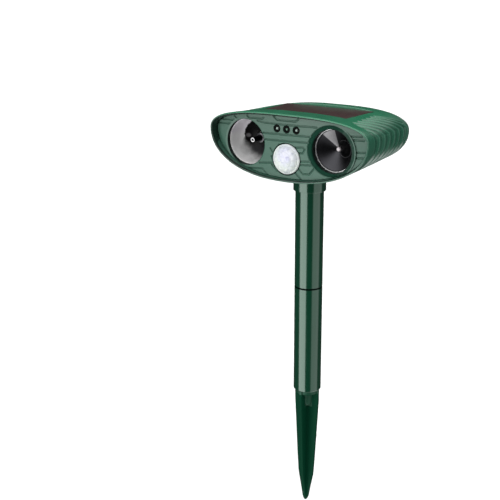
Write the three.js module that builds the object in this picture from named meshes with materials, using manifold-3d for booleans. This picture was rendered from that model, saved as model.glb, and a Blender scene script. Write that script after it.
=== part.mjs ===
// Solar garden repeller on a ground spike: a ribbed oval head with a solar panel on top, a strobe
// reflector, an ultrasonic speaker, three signal lights and a motion sensor in its face, carried
// on a two-piece push-fit pole with a cross-finned spike.
//
// Units: millimetres. +Z up, the face looks towards -Y, +X is to the viewer's right.
// Origin: on the pole axis at the soil line, which is the flat underside of the spike's flange.
import * as THREE from 'three';
import { mergeVertices } from 'three/addons/utils/BufferGeometryUtils.js';
import Module from 'manifold-3d';

const wasm = await Module();
wasm.setup();

// ---------------------------------------------------------------- driving dimensions
const HEAD_Z = 214.4;          // height of the head's own datum above the soil line
const HEAD_HALF_W = 72.5;      // half width of the head at its front rim
const HEAD_LEN = 103;          // depth of the head, front rim to back face
const FRONT_Y = -41.4;         // front rim plane on the centre line
const RIM_BOW = 0.00055;       // rim edge falls back by this times x squared
const WALL = 2.2;              // shell wall
const SPLIT_Y = 50.3;          // parting line between main shell and rear cover
const REAR_ROUND = 8.7;        // rounding of the back edge
const SEG = 40;                // points round the head's section

const PANEL_Y = -37.26;        // front of the face panel on the centre line
const PANEL_BOW = 0.00115;     // the panel's face falls back by this times x squared
const PANEL_T = 2.4;
const HORN_X = 39.29, HORN_Z = 8.78, HORN_R = 19.46;
const STROBE_Z = 8.25, STROBE_LIP = 18.6, SPEAKER_LIP = 17.2;   // the openings' front edges, smaller than the sleeves behind
const PIR_Z = -1.21, PIR_R = 12.03, PIR_RISE = 5.5;
const LED_Z = 22.45, LED_PITCH = 8.84, LED_HOLDER_R = 2.85, LED_R = 1.45;

const SOLAR_X = 40.95, SOLAR_Y0 = -17.0, SOLAR_Y1 = 30.8, SOLAR_TOP = 30.6, SOLAR_T = 2.3;

const POLE_R = 11.84, POLE_BORE = 10.15, SPIGOT_R = 10.0;
const COLLAR_R = 13.55, COLLAR_BOTTOM = -33.28, SOCKET_BORE = 12.12, SOCKET_TOP = -6.0;
const SEAM_Z = 97.55;          // joint between the two poles
const LOWER_BOTTOM = 3.5;      // bottom end of the lower pole
const SPIGOT_LEN = 21.5;
const FLANGE_R = 10.3, FLANGE_TOP = 3.2;
const FIN_T = 2.6;
const FIN = [                  // fin reach from the axis, and height
  [11.58, 3.2], [11.52, -7.1], [10.62, -23.6], [9.5, -43.2], [8.38, -63.0], [7.33, -78.0],
  [6.53, -83.1], [5.53, -88.2], [4.45, -93.2], [2.68, -103.4], [0.9, -107.3],
];

const BACK_Y = FRONT_Y + HEAD_LEN;   // flat back face
const DIAL_X = -26, DIAL_Z = 7, DIAL_R = 8, DIAL_WELL = 10.5;
const BUTTON_X = 2, BUTTON_Z = 7, BUTTON_R = 4.6;
const PORT_X = 24, PORT_Z = 5.6;
const SCREWS = [[-44.5, 9.5], [44.5, 9.5], [-12, -4.5], [12, -4.5]];

// ---------------------------------------------------------------- helpers
function signedVolume(pos, idx) {
  let v = 0;
  for (let i = 0; i < idx.length; i += 3) {
    const a = idx[i] * 3, b = idx[i + 1] * 3, c = idx[i + 2] * 3;
    v += pos[a] * (pos[b + 1] * pos[c + 2] - pos[b + 2] * pos[c + 1])
       - pos[a + 1] * (pos[b] * pos[c + 2] - pos[b + 2] * pos[c])
       + pos[a + 2] * (pos[b] * pos[c + 1] - pos[b + 1] * pos[c]);
  }
  return v / 6;
}
// closed geometry with shared vertices and faces pointing out
function weld(geometry, tolerance = 1e-3) {
  const g = geometry.clone();
  g.deleteAttribute('normal'); g.deleteAttribute('uv');
  const m = mergeVertices(g, tolerance);
  const pos = m.attributes.position.array, src = m.index.array, idx = [];
  for (let i = 0; i < src.length; i += 3) {
    const [a, b, c] = [src[i], src[i + 1], src[i + 2]];
    if (a !== b && b !== c && a !== c) idx.push(a, b, c);
  }
  if (signedVolume(pos, idx) < 0) for (let i = 0; i < idx.length; i += 3) [idx[i + 1], idx[i + 2]] = [idx[i + 2], idx[i + 1]];
  const out = new THREE.BufferGeometry();
  out.setAttribute('position', new THREE.BufferAttribute(new Float32Array(pos), 3));
  out.setIndex(idx);
  return out;
}
function solid(geometry) {
  const g = weld(geometry);
  return new wasm.Manifold(new wasm.Mesh({
    numProp: 3,
    vertProperties: new Float32Array(g.attributes.position.array),
    triVerts: new Uint32Array(g.index.array),
  }));
}
function geometryOf(manifold) {
  const m = manifold.getMesh();
  const g = new THREE.BufferGeometry();
  const p = new Float32Array(m.numVert * 3);
  for (let i = 0; i < m.numVert; i++) for (let k = 0; k < 3; k++) p[i * 3 + k] = m.vertProperties[i * m.numProp + k];
  g.setAttribute('position', new THREE.BufferAttribute(p, 3));
  g.setIndex([...m.triVerts]);
  return g;
}
// surface through rings of equal length; closed like a tyre, or capped with a fan at each end
function loft(rings, { ring = false } = {}) {
  const n = rings[0].length, pos = [], idx = [];
  for (const r of rings) for (const p of r) pos.push(...p);
  const last = ring ? rings.length : rings.length - 1;
  for (let k = 0; k < last; k++) {
    const a0 = k * n, b0 = ((k + 1) % rings.length) * n;
    for (let i = 0; i < n; i++) {
      const j = (i + 1) % n;
      idx.push(a0 + i, a0 + j, b0 + j, a0 + i, b0 + j, b0 + i);
    }
  }
  if (!ring) {
    for (const [k, flip] of [[0, true], [rings.length - 1, false]]) {
      const c = pos.length / 3, r = rings[k];
      const mid = [0, 1, 2].map((q) => r.reduce((s, p) => s + p[q], 0) / n);
      pos.push(...mid);
      for (let i = 0; i < n; i++) {
        const j = (i + 1) % n;
        if (flip) idx.push(c, k * n + j, k * n + i); else idx.push(c, k * n + i, k * n + j);
      }
    }
  }
  const g = new THREE.BufferGeometry();
  g.setAttribute('position', new THREE.BufferAttribute(new Float32Array(pos), 3));
  g.setIndex(idx);
  return g;
}
const box = (x0, x1, y0, y1, z0, z1) =>
  new THREE.BoxGeometry(x1 - x0, y1 - y0, z1 - z0).translate((x0 + x1) / 2, (y0 + y1) / 2, (z0 + z1) / 2);
// turned piece: profile of [radius, height], about Z or about Y
function turnedZ(profile, seg = 32) {
  return new THREE.LatheGeometry(profile.map(([r, z]) => new THREE.Vector2(r, z)), seg).rotateX(Math.PI / 2);
}
function turnedY(profile, x = 0, z = 0, seg = 24) {
  return new THREE.LatheGeometry(profile.map(([r, y]) => new THREE.Vector2(r, y)), seg).translate(x, 0, z);
}
const close = (profile) => [...profile, profile[0]];
const rodY = (r, y0, y1, x = 0, z = 0, seg = 20) => turnedY([[0, y0], [r, y0], [r, y1], [0, y1]], x, z, seg);
const rodZ = (r, z0, z1, seg = 32) => turnedZ([[0, z0], [r, z0], [r, z1], [0, z1]], seg);
function rodX(r, x0, x1, y, z, seg = 20) {
  return new THREE.CylinderGeometry(r, r, x1 - x0, seg).rotateZ(Math.PI / 2).translate((x0 + x1) / 2, y, z);
}

// ---------------------------------------------------------------- head form
const TOP_LINE = [[-0.05, 35.04], [0, 35.04], [0.06, 34.7], [0.15, 34.0], [0.237, 33.55], [0.4, 33.35], [0.55, 33.2],
  [0.7, 32.7], [0.85, 31.2], [1, 28.4], [1.1, 26.2]];
function topLine(t) {
  for (let i = 1; i < TOP_LINE.length; i++) {
    if (t <= TOP_LINE[i][0] || i === TOP_LINE.length - 1) {
      const [t0, z0] = TOP_LINE[i - 1], [t1, z1] = TOP_LINE[i];
      const k = (t - t0) / (t1 - t0);
      return z0 + (z1 - z0) * k;
    }
  }
  return 0;
}
function section(y, inset, yOf = (x) => y) {
  const t = (y - FRONT_Y) / HEAD_LEN;
  const w = HEAD_HALF_W * (1 - 0.095 * t - 0.068 * t * t);
  const zt = topLine(t), zb = -18.91 + 1.86 * t - 1.28 * t * t, zw = 17.55 - 4.76 * t;
  const pts = [];
  for (let i = 0; i < SEG; i++) {
    const a = (2 * Math.PI * (i + 0.5)) / SEG, c = Math.cos(a), s = Math.sin(a);
    const up = s >= 0, m = up ? 2.83 : 2.27, n = up ? 2.36 : 2.1;
    const put = (d) => [
      (w - d) * Math.sign(c) * Math.abs(c) ** (2 / m),
      up ? zw + (zt - d - zw) * Math.abs(s) ** (2 / n) : zw - (zw - zb - d) * Math.abs(s) ** (2 / n),
    ];
    let [x, z] = put(0);
    const d = typeof inset === 'function' ? inset(x, z, w, zw) : inset;
    [x, z] = put(d);
    pts.push([x, yOf(x), z]);
  }
  return pts;
}
const rimY = (y0) => (x) => y0 + RIM_BOW * x * x;
const panelY = (y0) => (x) => y0 + PANEL_BOW * x * x;
function bodySolid(inset, y0 = -60, y1 = SPLIT_Y - 0.4) {
  const ys = [y0, -40, -30, -15, 0, 15, 30, 42, y1].filter((y, i, all) => i === 0 || i === all.length - 1 || (y > y0 && y < y1));
  return solid(loft(ys.map((y) => section(Math.max(y, FRONT_Y), inset, () => y))));
}

// ---------------------------------------------------------------- main shell
// Swept ribs: each starts at an inner end on the top, sweeps back over the shoulder and then runs
// straight down the side. Rows: angle on the section, y of rib 0 there, pitch there.
const RIB_SWEEP = [[-90, 6, 11], [10, 6, 11], [24, -0.5, 9.8], [30, -5, 9.5], [42, -13, 8.7], [50, -18, 8.2], [90, -18, 8.2]];
const RIB_FIRST = -2.5, RIB_LAST = 4.5, RIB_DEPTH = 0.9;
const ramp = (x, a, b) => Math.min(1, Math.max(0, (x - a) / (b - a)));
function ribY(deg, u) {
  const k = Math.max(1, RIB_SWEEP.findIndex((r) => deg <= r[0]));
  const [a0, y0, p0] = RIB_SWEEP[k - 1], [a1, y1, p1] = RIB_SWEEP[k], q = (deg - a0) / (a1 - a0);
  const y = y0 + (y1 - y0) * q + (p0 + (p1 - p0) * q) * u;
  return y > 44 ? 44 + 5.6 * (1 - Math.exp(-(y - 44) / 5.6)) : y;
}
// a ring of the outer skin that follows rib number u, pressed in by depth where the ribs are
function ribRing(u, depth) {
  const pts = [];
  for (let i = 0; i < SEG; i++) {
    const deg = (Math.asin(Math.sin((2 * Math.PI * (i + 0.5)) / SEG)) * 180) / Math.PI, y = ribY(deg, u);
    const k = ramp(deg, 53, 47) * ramp(deg, -48, -38) * ramp(y, -29, -23) * ramp(y, 48, 45);
    pts.push(section(y, depth * k)[i]);
  }
  return pts;
}
const between = (a, b, q) => a.map((p, i) => section(p[1] + (b[i][1] - p[1]) * q, 0)[i]);
const rimRing = section(FRONT_Y, 0, rimY(FRONT_Y)), seamRing = section(SPLIT_Y - 0.15, 0);
const ribRings = [];
for (let u = RIB_FIRST; u <= RIB_LAST; u += 0.5) ribRings.push(ribRing(u, Number.isInteger(u) ? 0 : RIB_DEPTH));
const lastRing = ribRings[ribRings.length - 1];
const outer = [rimRing, between(rimRing, ribRings[0], 0.5), ...ribRings,
  between(lastRing, seamRing, 0.35), between(lastRing, seamRing, 0.7), seamRing];
const inner = [section(SPLIT_Y - 0.15, WALL), section(30, WALL + 0.4), section(5, WALL + 0.6), section(-25, WALL + 0.6),
  section(-29, WALL), section(FRONT_Y, WALL, rimY(FRONT_Y))];
const trim = bodySolid(1.1);
let shell = solid(loft([...outer, ...inner], { ring: true }));
// tray under the solar panel, with the panel's pocket and the lead hole
const tray = solid(box(-43.4, 43.4, SOLAR_Y0 - 2.4, SOLAR_Y1 + 2.4, 26.0, 40)).intersect(trim);
shell = shell.add(tray)
  .subtract(solid(box(-SOLAR_X - 0.35, SOLAR_X + 0.35, SOLAR_Y0 - 0.35, SOLAR_Y1 + 0.35, SOLAR_TOP - SOLAR_T - 0.3, 45)))
  .subtract(solid(box(-6, 6, 12, 20, 20, 34)));
// socket for the pole, with the collar that stands out below
shell = shell.add(solid(turnedZ([[0, COLLAR_BOTTOM], [COLLAR_R - 1.2, COLLAR_BOTTOM], [COLLAR_R - 0.35, COLLAR_BOTTOM + 0.35], [COLLAR_R, COLLAR_BOTTOM + 1.2], [COLLAR_R, SOCKET_TOP + 2.2], [0, SOCKET_TOP + 2.2]], 32)))
  .subtract(solid(rodZ(SOCKET_BORE, COLLAR_BOTTOM - 5, SOCKET_TOP, 32)));
// screw posts for the rear cover, each tied to the wall by a web
for (const [x, z] of SCREWS) {
  const web = Math.abs(x) > 30 ? box(x > 0 ? x : -75, x > 0 ? 75 : x, 30, SPLIT_Y - 0.45, z - 1, z + 1)
    : box(x - 1, x + 1, 30, SPLIT_Y - 0.45, -30, z);
  shell = shell.add(solid(rodY(3.3, 30, SPLIT_Y - 0.45, x, z, 10)).add(solid(web)).intersect(trim))
    .subtract(solid(rodY(1.75, 40, SPLIT_Y + 5, x, z, 8)));
}

// ---------------------------------------------------------------- rear cover
const coverOut = [section(SPLIT_Y + 0.15, 0), section(BACK_Y - REAR_ROUND, 0)];
for (const a of [30, 60, 90]) {
  const q = (a * Math.PI) / 180;
  const y = BACK_Y - REAR_ROUND + REAR_ROUND * Math.sin(q), d = REAR_ROUND * (1 - Math.cos(q));
  coverOut.push(section(y, d, () => y));
}
const coverIn = [section(SPLIT_Y + 0.15, WALL, () => SPLIT_Y + 0.1), section(BACK_Y - REAR_ROUND, WALL), section(BACK_Y - 4.6, 4.6), section(BACK_Y - 2.4, 8.9)];
let cover = solid(loft(coverOut)).subtract(solid(loft(coverIn.map((r, i) => (i === 0 ? r.map(([x, , z]) => [x, SPLIT_Y - 1, z]) : r)))));
const coverTrim = solid(loft([section(SPLIT_Y + 0.3, 1.2), section(BACK_Y - REAR_ROUND, 1.2), section(BACK_Y - 1.2, 5.5)]));
// locating lip inside the shell's edge is left off: the cover meets the shell edge to edge
for (const [x, z] of SCREWS) {
  cover = cover.add(solid(rodY(4.4, SPLIT_Y + 0.15, BACK_Y - 1.2, x, z, 12)).intersect(coverTrim))
    .subtract(solid(rodY(1.75, SPLIT_Y - 3, BACK_Y + 2, x, z, 8)))
    .subtract(solid(rodY(3.1, BACK_Y - 3, BACK_Y + 2, x, z, 14)));
}
// dial well, button hole, charging slot
cover = cover.add(solid(rodY(DIAL_WELL + 1.8, BACK_Y - 6.2, BACK_Y - 1.2, DIAL_X, DIAL_Z, 24)))
  .subtract(solid(rodY(DIAL_WELL, BACK_Y - 4, BACK_Y + 2, DIAL_X, DIAL_Z, 24)))
  .subtract(solid(rodY(3.4, BACK_Y - 9, BACK_Y + 2, DIAL_X, DIAL_Z, 14)))
  .subtract(solid(rodY(BUTTON_R + 0.3, BACK_Y - 9, BACK_Y + 2, BUTTON_X, BUTTON_Z, 18)))
  .subtract(solid(box(PORT_X - 5.2, PORT_X + 5.2, BACK_Y - 9, BACK_Y + 2, PORT_Z - 2.3, PORT_Z + 2.3)));
// two lugs that carry the flap
const HINGE_Y = BACK_Y + 1.5, HINGE_Z = PORT_Z + 7.0;
for (const s of [-1, 1]) {
  const lug = solid(box(PORT_X + s * 8.3 - 1, PORT_X + s * 8.3 + 1, BACK_Y - 0.5, HINGE_Y, HINGE_Z - 1.5, HINGE_Z + 1.5))
    .add(solid(rodX(1.5, PORT_X + s * 8.3 - 1, PORT_X + s * 8.3 + 1, HINGE_Y, HINGE_Z, 16)))
    .subtract(solid(rodX(0.9, PORT_X - 12, PORT_X + 12, HINGE_Y, HINGE_Z, 12)));
  cover = cover.add(lug);
}

// ---------------------------------------------------------------- face panel
const strip = [];
for (let i = 0; i <= 14; i++) { const x = -72 + (144 / 14) * i; strip.push([x, PANEL_Y + PANEL_BOW * x * x]); }
for (let i = 14; i >= 0; i--) { const x = -72 + (144 / 14) * i; strip.push([x, PANEL_Y + PANEL_T + PANEL_BOW * x * x]); }
const slabShape = new THREE.Shape(strip.map(([x, y]) => new THREE.Vector2(x, y)));
let panel = solid(new THREE.ExtrudeGeometry(slabShape, { depth: 80, bevelEnabled: false }).translate(0, 0, -35));
const sleeve = (x, z, r, back) => solid(rodY(r, panelY(PANEL_Y + 1)(x), back, x, z, 28));
panel = panel.add(sleeve(-HORN_X, STROBE_Z, HORN_R + 1.0, -29.6)).add(sleeve(HORN_X, HORN_Z, HORN_R + 1.0, -29.6))
  .add(sleeve(0, PIR_Z, PIR_R + 1.6, -31.5));
const panelTrim = solid(loft([-60, -36, -31, -26].map((y) => section(Math.max(y, FRONT_Y), WALL + 0.35, () => y))));
panel = panel.intersect(panelTrim)
  .subtract(solid(turnedY([[0, -50], [STROBE_LIP, -50], [STROBE_LIP, -31.1], [HORN_R, -31.1], [HORN_R, -20], [0, -20]], -HORN_X, STROBE_Z, 28)))
  .subtract(solid(turnedY([[0, -50], [SPEAKER_LIP, -50], [SPEAKER_LIP, -31.0], [18.35, -31.0], [18.35, -20], [0, -20]], HORN_X, HORN_Z, 28)))
  .subtract(solid(rodY(PIR_R + 0.3, -50, -20, 0, PIR_Z, 24)));
for (const k of [-1, 0, 1]) panel = panel.subtract(solid(rodY(LED_HOLDER_R + 0.3, -50, -20, k * LED_PITCH, LED_Z, 14)));

// ---------------------------------------------------------------- poles and spike
const upperPole = turnedZ(close([[8.4, SEAM_Z - SPIGOT_LEN], [9.5, SEAM_Z - SPIGOT_LEN], [SPIGOT_R, SEAM_Z - SPIGOT_LEN + 0.8], [SPIGOT_R, SEAM_Z + 0.15],
  [POLE_R, SEAM_Z + 0.15], [POLE_R, HEAD_Z + SOCKET_TOP - 0.9], [POLE_R - 0.6, HEAD_Z + SOCKET_TOP - 0.3], [10.2, HEAD_Z + SOCKET_TOP - 0.3], [10.2, SEAM_Z + 4], [8.4, SEAM_Z + 2]]));
const lowerPole = turnedZ(close([[POLE_BORE, LOWER_BOTTOM], [POLE_R - 0.7, LOWER_BOTTOM], [POLE_R, LOWER_BOTTOM + 0.8], [POLE_R, SEAM_Z - 0.15], [POLE_BORE, SEAM_Z - 0.15]]));
const finShape = new THREE.Shape([...FIN.map(([r, z]) => new THREE.Vector2(r, z)), ...[...FIN].reverse().map(([r, z]) => new THREE.Vector2(-r, z))]);
const fin = new THREE.ExtrudeGeometry(finShape, { depth: FIN_T, bevelEnabled: false }).translate(0, 0, -FIN_T / 2).rotateX(Math.PI / 2);
let spike = solid(turnedZ([[0, 0], [FLANGE_R, 0], [FLANGE_R, FLANGE_TOP], [SPIGOT_R, FLANGE_TOP], [SPIGOT_R, 23.4], [9.4, 24.2], [8.2, 24.2], [8.2, 5.2], [0, 5.2]]))
  .add(solid(fin)).add(solid(fin.clone().rotateZ(Math.PI / 2)))
  .add(solid(turnedZ([[0, 1], [5.7, 1], [5.7, -9.0], [5.0, -11.3], [3.4, -12.8], [0, -13.3]], 20)));

// ---------------------------------------------------------------- assembly
const part = new THREE.Group();
const head = new THREE.Group();
head.position.z = HEAD_Z;
part.add(head);
const tones = {
  shell: ['#2c7a57', 0.42, 0], pole: ['#073a26', 0.25, 0], face: ['#6d8f80', 0.5, 0], solar: ['#3a302f', 0.2, 0],
  chrome: ['#cfcfcf', 0.08, 1], smoke: ['#3a3a3d', 0.2, 1], silver: ['#d9dbda', 0.22, 1], black: ['#101211', 0.6, 0],
  lens: ['#eceef6', 0.35, 0], clear: ['#e8efe9', 0.1, 0], board: ['#1f6b3a', 0.5, 0], steel: ['#9a9c9e', 0.35, 1],
  cell: ['#3f8f4c', 0.4, 0], brass: ['#b9923e', 0.35, 1], ferrite: ['#2c2c2e', 0.7, 0], red: ['#a3241d', 0.5, 0],
};
function node(parent, name, shape, tone) {
  const [color, roughness, metalness] = tones[tone];
  const g = shape.isBufferGeometry ? weld(shape) : geometryOf(shape);
  g.computeVertexNormals();
  const m = new THREE.Mesh(g, new THREE.MeshStandardMaterial({ color, roughness, metalness }));
  m.name = name;
  parent.add(m);
}

node(part, 'ground_spike', spike, 'pole');
node(part, 'lower_pole', lowerPole, 'pole');
node(part, 'upper_pole', upperPole, 'pole');

node(head, 'main_shell', shell, 'shell');
node(head, 'rear_cover', cover, 'shell');
node(head, 'face_panel', panel, 'face');

// solar panel with its foam tape
node(head, 'solar_panel', box(-SOLAR_X, SOLAR_X, SOLAR_Y0, SOLAR_Y1, SOLAR_TOP - SOLAR_T + 0.9, SOLAR_TOP), 'solar');
node(head, 'solar_tape', solid(box(-SOLAR_X, SOLAR_X, SOLAR_Y0, SOLAR_Y1, SOLAR_TOP - SOLAR_T, SOLAR_TOP - SOLAR_T + 0.6))
  .subtract(solid(box(-SOLAR_X + 4, SOLAR_X - 4, SOLAR_Y0 + 4, SOLAR_Y1 - 4, 20, 40))), 'black');

// strobe: chromed bowl, light with its lens, holder and board
node(head, 'strobe_reflector', turnedY(close([[18.25, -30.8], [17.0, -26], [15.4, -22.4], [12.9, -19], [9.6, -16.2], [4.6, -13.9],
  [4.6, -12.7], [10.3, -15], [13.9, -18.1], [16.2, -21.8], [18.6, -29.4], [18.6, -30.8]]), -HORN_X, STROBE_Z, 28), 'chrome');
node(head, 'strobe_holder', turnedY(close([[1.15, -25.7], [1.8, -25.7], [2.3, -15], [4.2, -15], [4.2, -12.3], [1.15, -12.3]]), -HORN_X, STROBE_Z, 16), 'silver');
node(head, 'strobe_lamp', turnedY([[0, -26.1], [0.5, -26.0], [0.8, -25.6], [0.85, -25.0], [0.85, -12.3], [0, -12.3]], -HORN_X, STROBE_Z, 14), 'clear');
node(head, 'strobe_board', rodY(10, -12, -10.4, -HORN_X, STROBE_Z, 20), 'board');

// speaker: basket, trim ring, turned cone, centre pin, coil, magnet
node(head, 'speaker_basket', turnedY([[0, -16], [12.5, -16], [18.0, -22], [18.0, -29.3], [16.9, -29.3], [16.9, -22.6], [12, -17.6], [0, -17.6]], HORN_X, HORN_Z, 28), 'black');
node(head, 'speaker_ring', turnedY(close([[16.2, -30.0], [16.5, -30.6], [17.0, -30.6], [17.3, -30.1], [17.3, -29.6], [16.2, -29.6]]), HORN_X, HORN_Z, 28), 'silver');
node(head, 'speaker_cone', turnedY(close([[15.9, -29.7], [9.0, -26.4], [2.3, -23.2], [2.3, -22.5], [9.0, -25.7], [15.9, -29.0]]), HORN_X, HORN_Z, 28), 'smoke');
node(head, 'speaker_pin', turnedY([[0, -24.8], [0.9, -24.65], [1.6, -24.1], [1.85, -23.3], [1.85, -18], [0, -18]], HORN_X, HORN_Z, 14), 'silver');
node(head, 'voice_coil', turnedY(close([[3.0, -22.5], [4.0, -23.0], [4.0, -18.1], [3.0, -18.1]]), HORN_X, HORN_Z, 16), 'brass');
node(head, 'speaker_magnet', rodY(11.5, -15.6, -7, HORN_X, HORN_Z, 20), 'ferrite');

// motion sensor: domed lens, metal-can sensor, its board
const capR = (PIR_R * PIR_R + PIR_RISE * PIR_RISE) / (2 * PIR_RISE);
const dome = [], domeIn = [];
for (let i = 0; i <= 5; i++) {
  const a = (i / 5) * Math.asin(PIR_R / capR);
  dome.push([capR * Math.sin(a), PANEL_Y - PIR_RISE + capR * (1 - Math.cos(a))]);
  if (i < 5) domeIn.push([(capR - 0.9) * Math.sin(a), PANEL_Y - PIR_RISE + 0.9 + (capR - 0.9) * (1 - Math.cos(a))]);
}
node(head, 'sensor_lens', turnedY([...dome, [PIR_R, -33.5], [PIR_R - 1, -33.5], [PIR_R - 1, PANEL_Y - 0.4], ...domeIn.reverse()], 0, PIR_Z, 24), 'lens');
node(head, 'sensor_can', turnedY([[0, -33.2], [4.1, -33.2], [4.1, -29.4], [4.7, -29.4], [4.7, -28.6], [0, -28.6]], 0, PIR_Z, 16), 'steel');
node(head, 'sensor_board', box(-11.5, 11.5, -28.3, -26.7, PIR_Z - 10, PIR_Z + 10), 'board');

// three signal lights in black holders on one small board
['left', 'centre', 'right'].forEach((side, i) => {
  const x = (i - 1) * LED_PITCH;
  node(head, `light_holder_${side}`, turnedY(close([[1.8, -37.0], [2.3, -37.55], [2.85, -37.2], [2.85, -33.2], [1.8, -33.2]]), x, LED_Z, 14), 'black');
  node(head, `light_${side}`, turnedY([[0, -37.5], [0.8, -37.25], [1.3, -36.7], [1.45, -36], [1.45, -31], [0, -31]], x, LED_Z, 10), 'clear');
});
node(head, 'light_board', box(-13.5, 13.5, -30.7, -29.3, LED_Z - 3.6, LED_Z + 3.2), 'board');

// main board with its chip and inductor, three rechargeable cells in a tray
node(head, 'main_board', box(-38, 38, 2, 44, 18, 19.6), 'board');
node(head, 'controller_chip', box(-18, -6, 12, 24, 19.9, 21.5), 'black');
node(head, 'drive_transformer', box(10, 22, 26, 38, 19.9, 25.4), 'ferrite');
let holder = solid(box(-28.5, 28.5, -2.2, 43.8, -0.2, 7.5)).subtract(solid(box(-26.8, 26.8, -0.6, 42.2, 1.4, 10)));
node(head, 'battery_tray', holder, 'black');
for (let i = 0; i < 3; i++) {
  const y = 6.6 + i * 14.2;
  node(head, `battery_cell_${i + 1}`, rodX(6.9, -25, 25, y, 8.7, 16), 'cell');
}

// controls board and what stands on it
const BOARD_Y = 47.0;
node(head, 'controls_board', box(-37, 36, BOARD_Y, BOARD_Y + 1.6, -0.8, 16), 'board');
node(head, 'rotary_switch', solid(box(DIAL_X - 8, DIAL_X + 8, BOARD_Y + 1.9, BOARD_Y + 7.7, DIAL_Z - 7.6, DIAL_Z + 8))
  .subtract(solid(rodY(3.3, BOARD_Y + 4.5, BOARD_Y + 12, DIAL_X, DIAL_Z, 20))), 'black');
node(head, 'dial_spindle', rodY(2.9, BOARD_Y + 4.9, BACK_Y + 0.2, DIAL_X, DIAL_Z, 20), 'steel');
// knob with a raised finger bar across it
const knobBase = BACK_Y - 3.7;
node(head, 'mode_dial', solid(turnedY([[0, knobBase], [DIAL_R, knobBase], [DIAL_R, BACK_Y - 0.4], [DIAL_R - 0.7, BACK_Y + 0.4], [0, BACK_Y + 0.4]], DIAL_X, DIAL_Z, 24))
  .add(solid(box(DIAL_X - 1.8, DIAL_X + 1.8, BACK_Y - 0.5, BACK_Y + 3.6, DIAL_Z - 6.9, DIAL_Z + 6.9)))
  .subtract(solid(rodY(3.2, knobBase - 5, BACK_Y + 0.5, DIAL_X, DIAL_Z, 20)).subtract(solid(box(-80, 80, BACK_Y + 0.6, BACK_Y + 9, -50, 50)))), 'black');
node(head, 'tact_switch', solid(box(BUTTON_X - 3.1, BUTTON_X + 3.1, BOARD_Y + 1.9, BOARD_Y + 4.2, BUTTON_Z - 3.1, BUTTON_Z + 3.1))
  .add(solid(rodY(1.7, BOARD_Y + 4, BOARD_Y + 4.9, BUTTON_X, BUTTON_Z, 16))), 'black');
node(head, 'power_button', turnedY([[0, BOARD_Y + 7], [2.2, BOARD_Y + 7], [2.2, BACK_Y - 5], [BUTTON_R + 1.4, BACK_Y - 5], [BUTTON_R + 1.4, BACK_Y - 2.75], [BUTTON_R, BACK_Y - 2.75],
  [BUTTON_R, BACK_Y + 1.2], [BUTTON_R - 0.6, BACK_Y + 1.8], [0, BACK_Y + 1.8]], BUTTON_X, BUTTON_Z, 18), 'red');
node(head, 'charge_socket', solid(box(PORT_X - 4.8, PORT_X + 4.8, BOARD_Y + 1.9, BACK_Y - 0.9, PORT_Z - 1.9, PORT_Z + 1.9))
  .subtract(solid(box(PORT_X - 4.3, PORT_X + 4.3, BACK_Y - 7, BACK_Y + 2, PORT_Z - 1.4, PORT_Z + 1.4)))
  .add(solid(box(PORT_X - 3.2, PORT_X + 3.2, BACK_Y - 7.5, BACK_Y - 1.6, PORT_Z - 0.4, PORT_Z + 0.4))), 'steel');
// weather flap over the charging socket, hung from two trunnions
node(head, 'port_flap', solid(box(PORT_X - 7, PORT_X + 7, BACK_Y + 0.3, BACK_Y + 2.1, PORT_Z - 4.6, HINGE_Z - 0.3))
  .add(solid(rodX(1.15, PORT_X - 7, PORT_X + 7, HINGE_Y, HINGE_Z, 16)))
  .add(solid(rodX(0.6, PORT_X - 9.1, PORT_X + 9.1, HINGE_Y, HINGE_Z, 12)))
  .add(solid(box(PORT_X - 2.5, PORT_X + 2.5, BACK_Y + 1.2, BACK_Y + 2.9, PORT_Z - 5.6, PORT_Z - 3.6))), 'black');

SCREWS.forEach(([x, z], i) => node(head, `cover_screw_${i + 1}`, turnedY([[0, 41.5], [1.45, 43], [1.45, BACK_Y - 2.7], [2.75, BACK_Y - 2.7], [2.75, BACK_Y - 1.4], [2.0, BACK_Y - 0.8], [0, BACK_Y - 0.7]], x, z, 12), 'steel'));

// leads between the boards
function lead(points, r = 0.9, steps = 10) {
  const curve = new THREE.CatmullRomCurve3(points.map((p) => new THREE.Vector3(...p)), false, 'centripetal');
  const sec = new THREE.Shape(Array.from({ length: 6 }, (_, i) => new THREE.Vector2(r * Math.cos((i * Math.PI) / 3), r * Math.sin((i * Math.PI) / 3))));
  return new THREE.ExtrudeGeometry(sec, { steps, extrudePath: curve, bevelEnabled: false });
}
node(head, 'solar_lead', lead([[0, 16, 28.6], [0, 16, 26.5], [1, 15, 24], [2, 10, 21.6], [2, 8, 20.6], [2, 8, 20.0]]), 'red');
node(head, 'strobe_lead', lead([[-38, -10.0, 12], [-38, -8.5, 12], [-37, -6, 15], [-34, -2, 17.5], [-33, 2, 20.8], [-32, 6, 21.9], [-32, 7, 21.2], [-32, 7.1, 20.2]]), 'red');
node(head, 'speaker_lead', lead([[36, -6.6, 14], [36, -5.4, 14], [35, -4, 17], [33, -1, 20], [32, 3, 21.4], [31, 6, 21.9], [31, 7, 21.2], [31, 7.1, 20.2]]), 'red');
node(head, 'sensor_lead', lead([[7, -26.3, 5], [7, -25, 5], [8, -20, 8], [9, -10, 14], [10, -2, 19.5], [10, 3, 21.6], [10, 5.6, 21.9], [10, 6.3, 21.2], [10, 6.4, 20.2]]), 'red');
node(head, 'battery_lead', lead([[31, 30, 2], [32, 30, 2.1], [33.5, 31, 5], [35, 32, 9], [35, 33, 14], [35, 33, 17.6]]), 'red');

export default part;
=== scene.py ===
import math

import bmesh
import bpy
import numpy as np
from mathutils import Matrix, Vector


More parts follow.
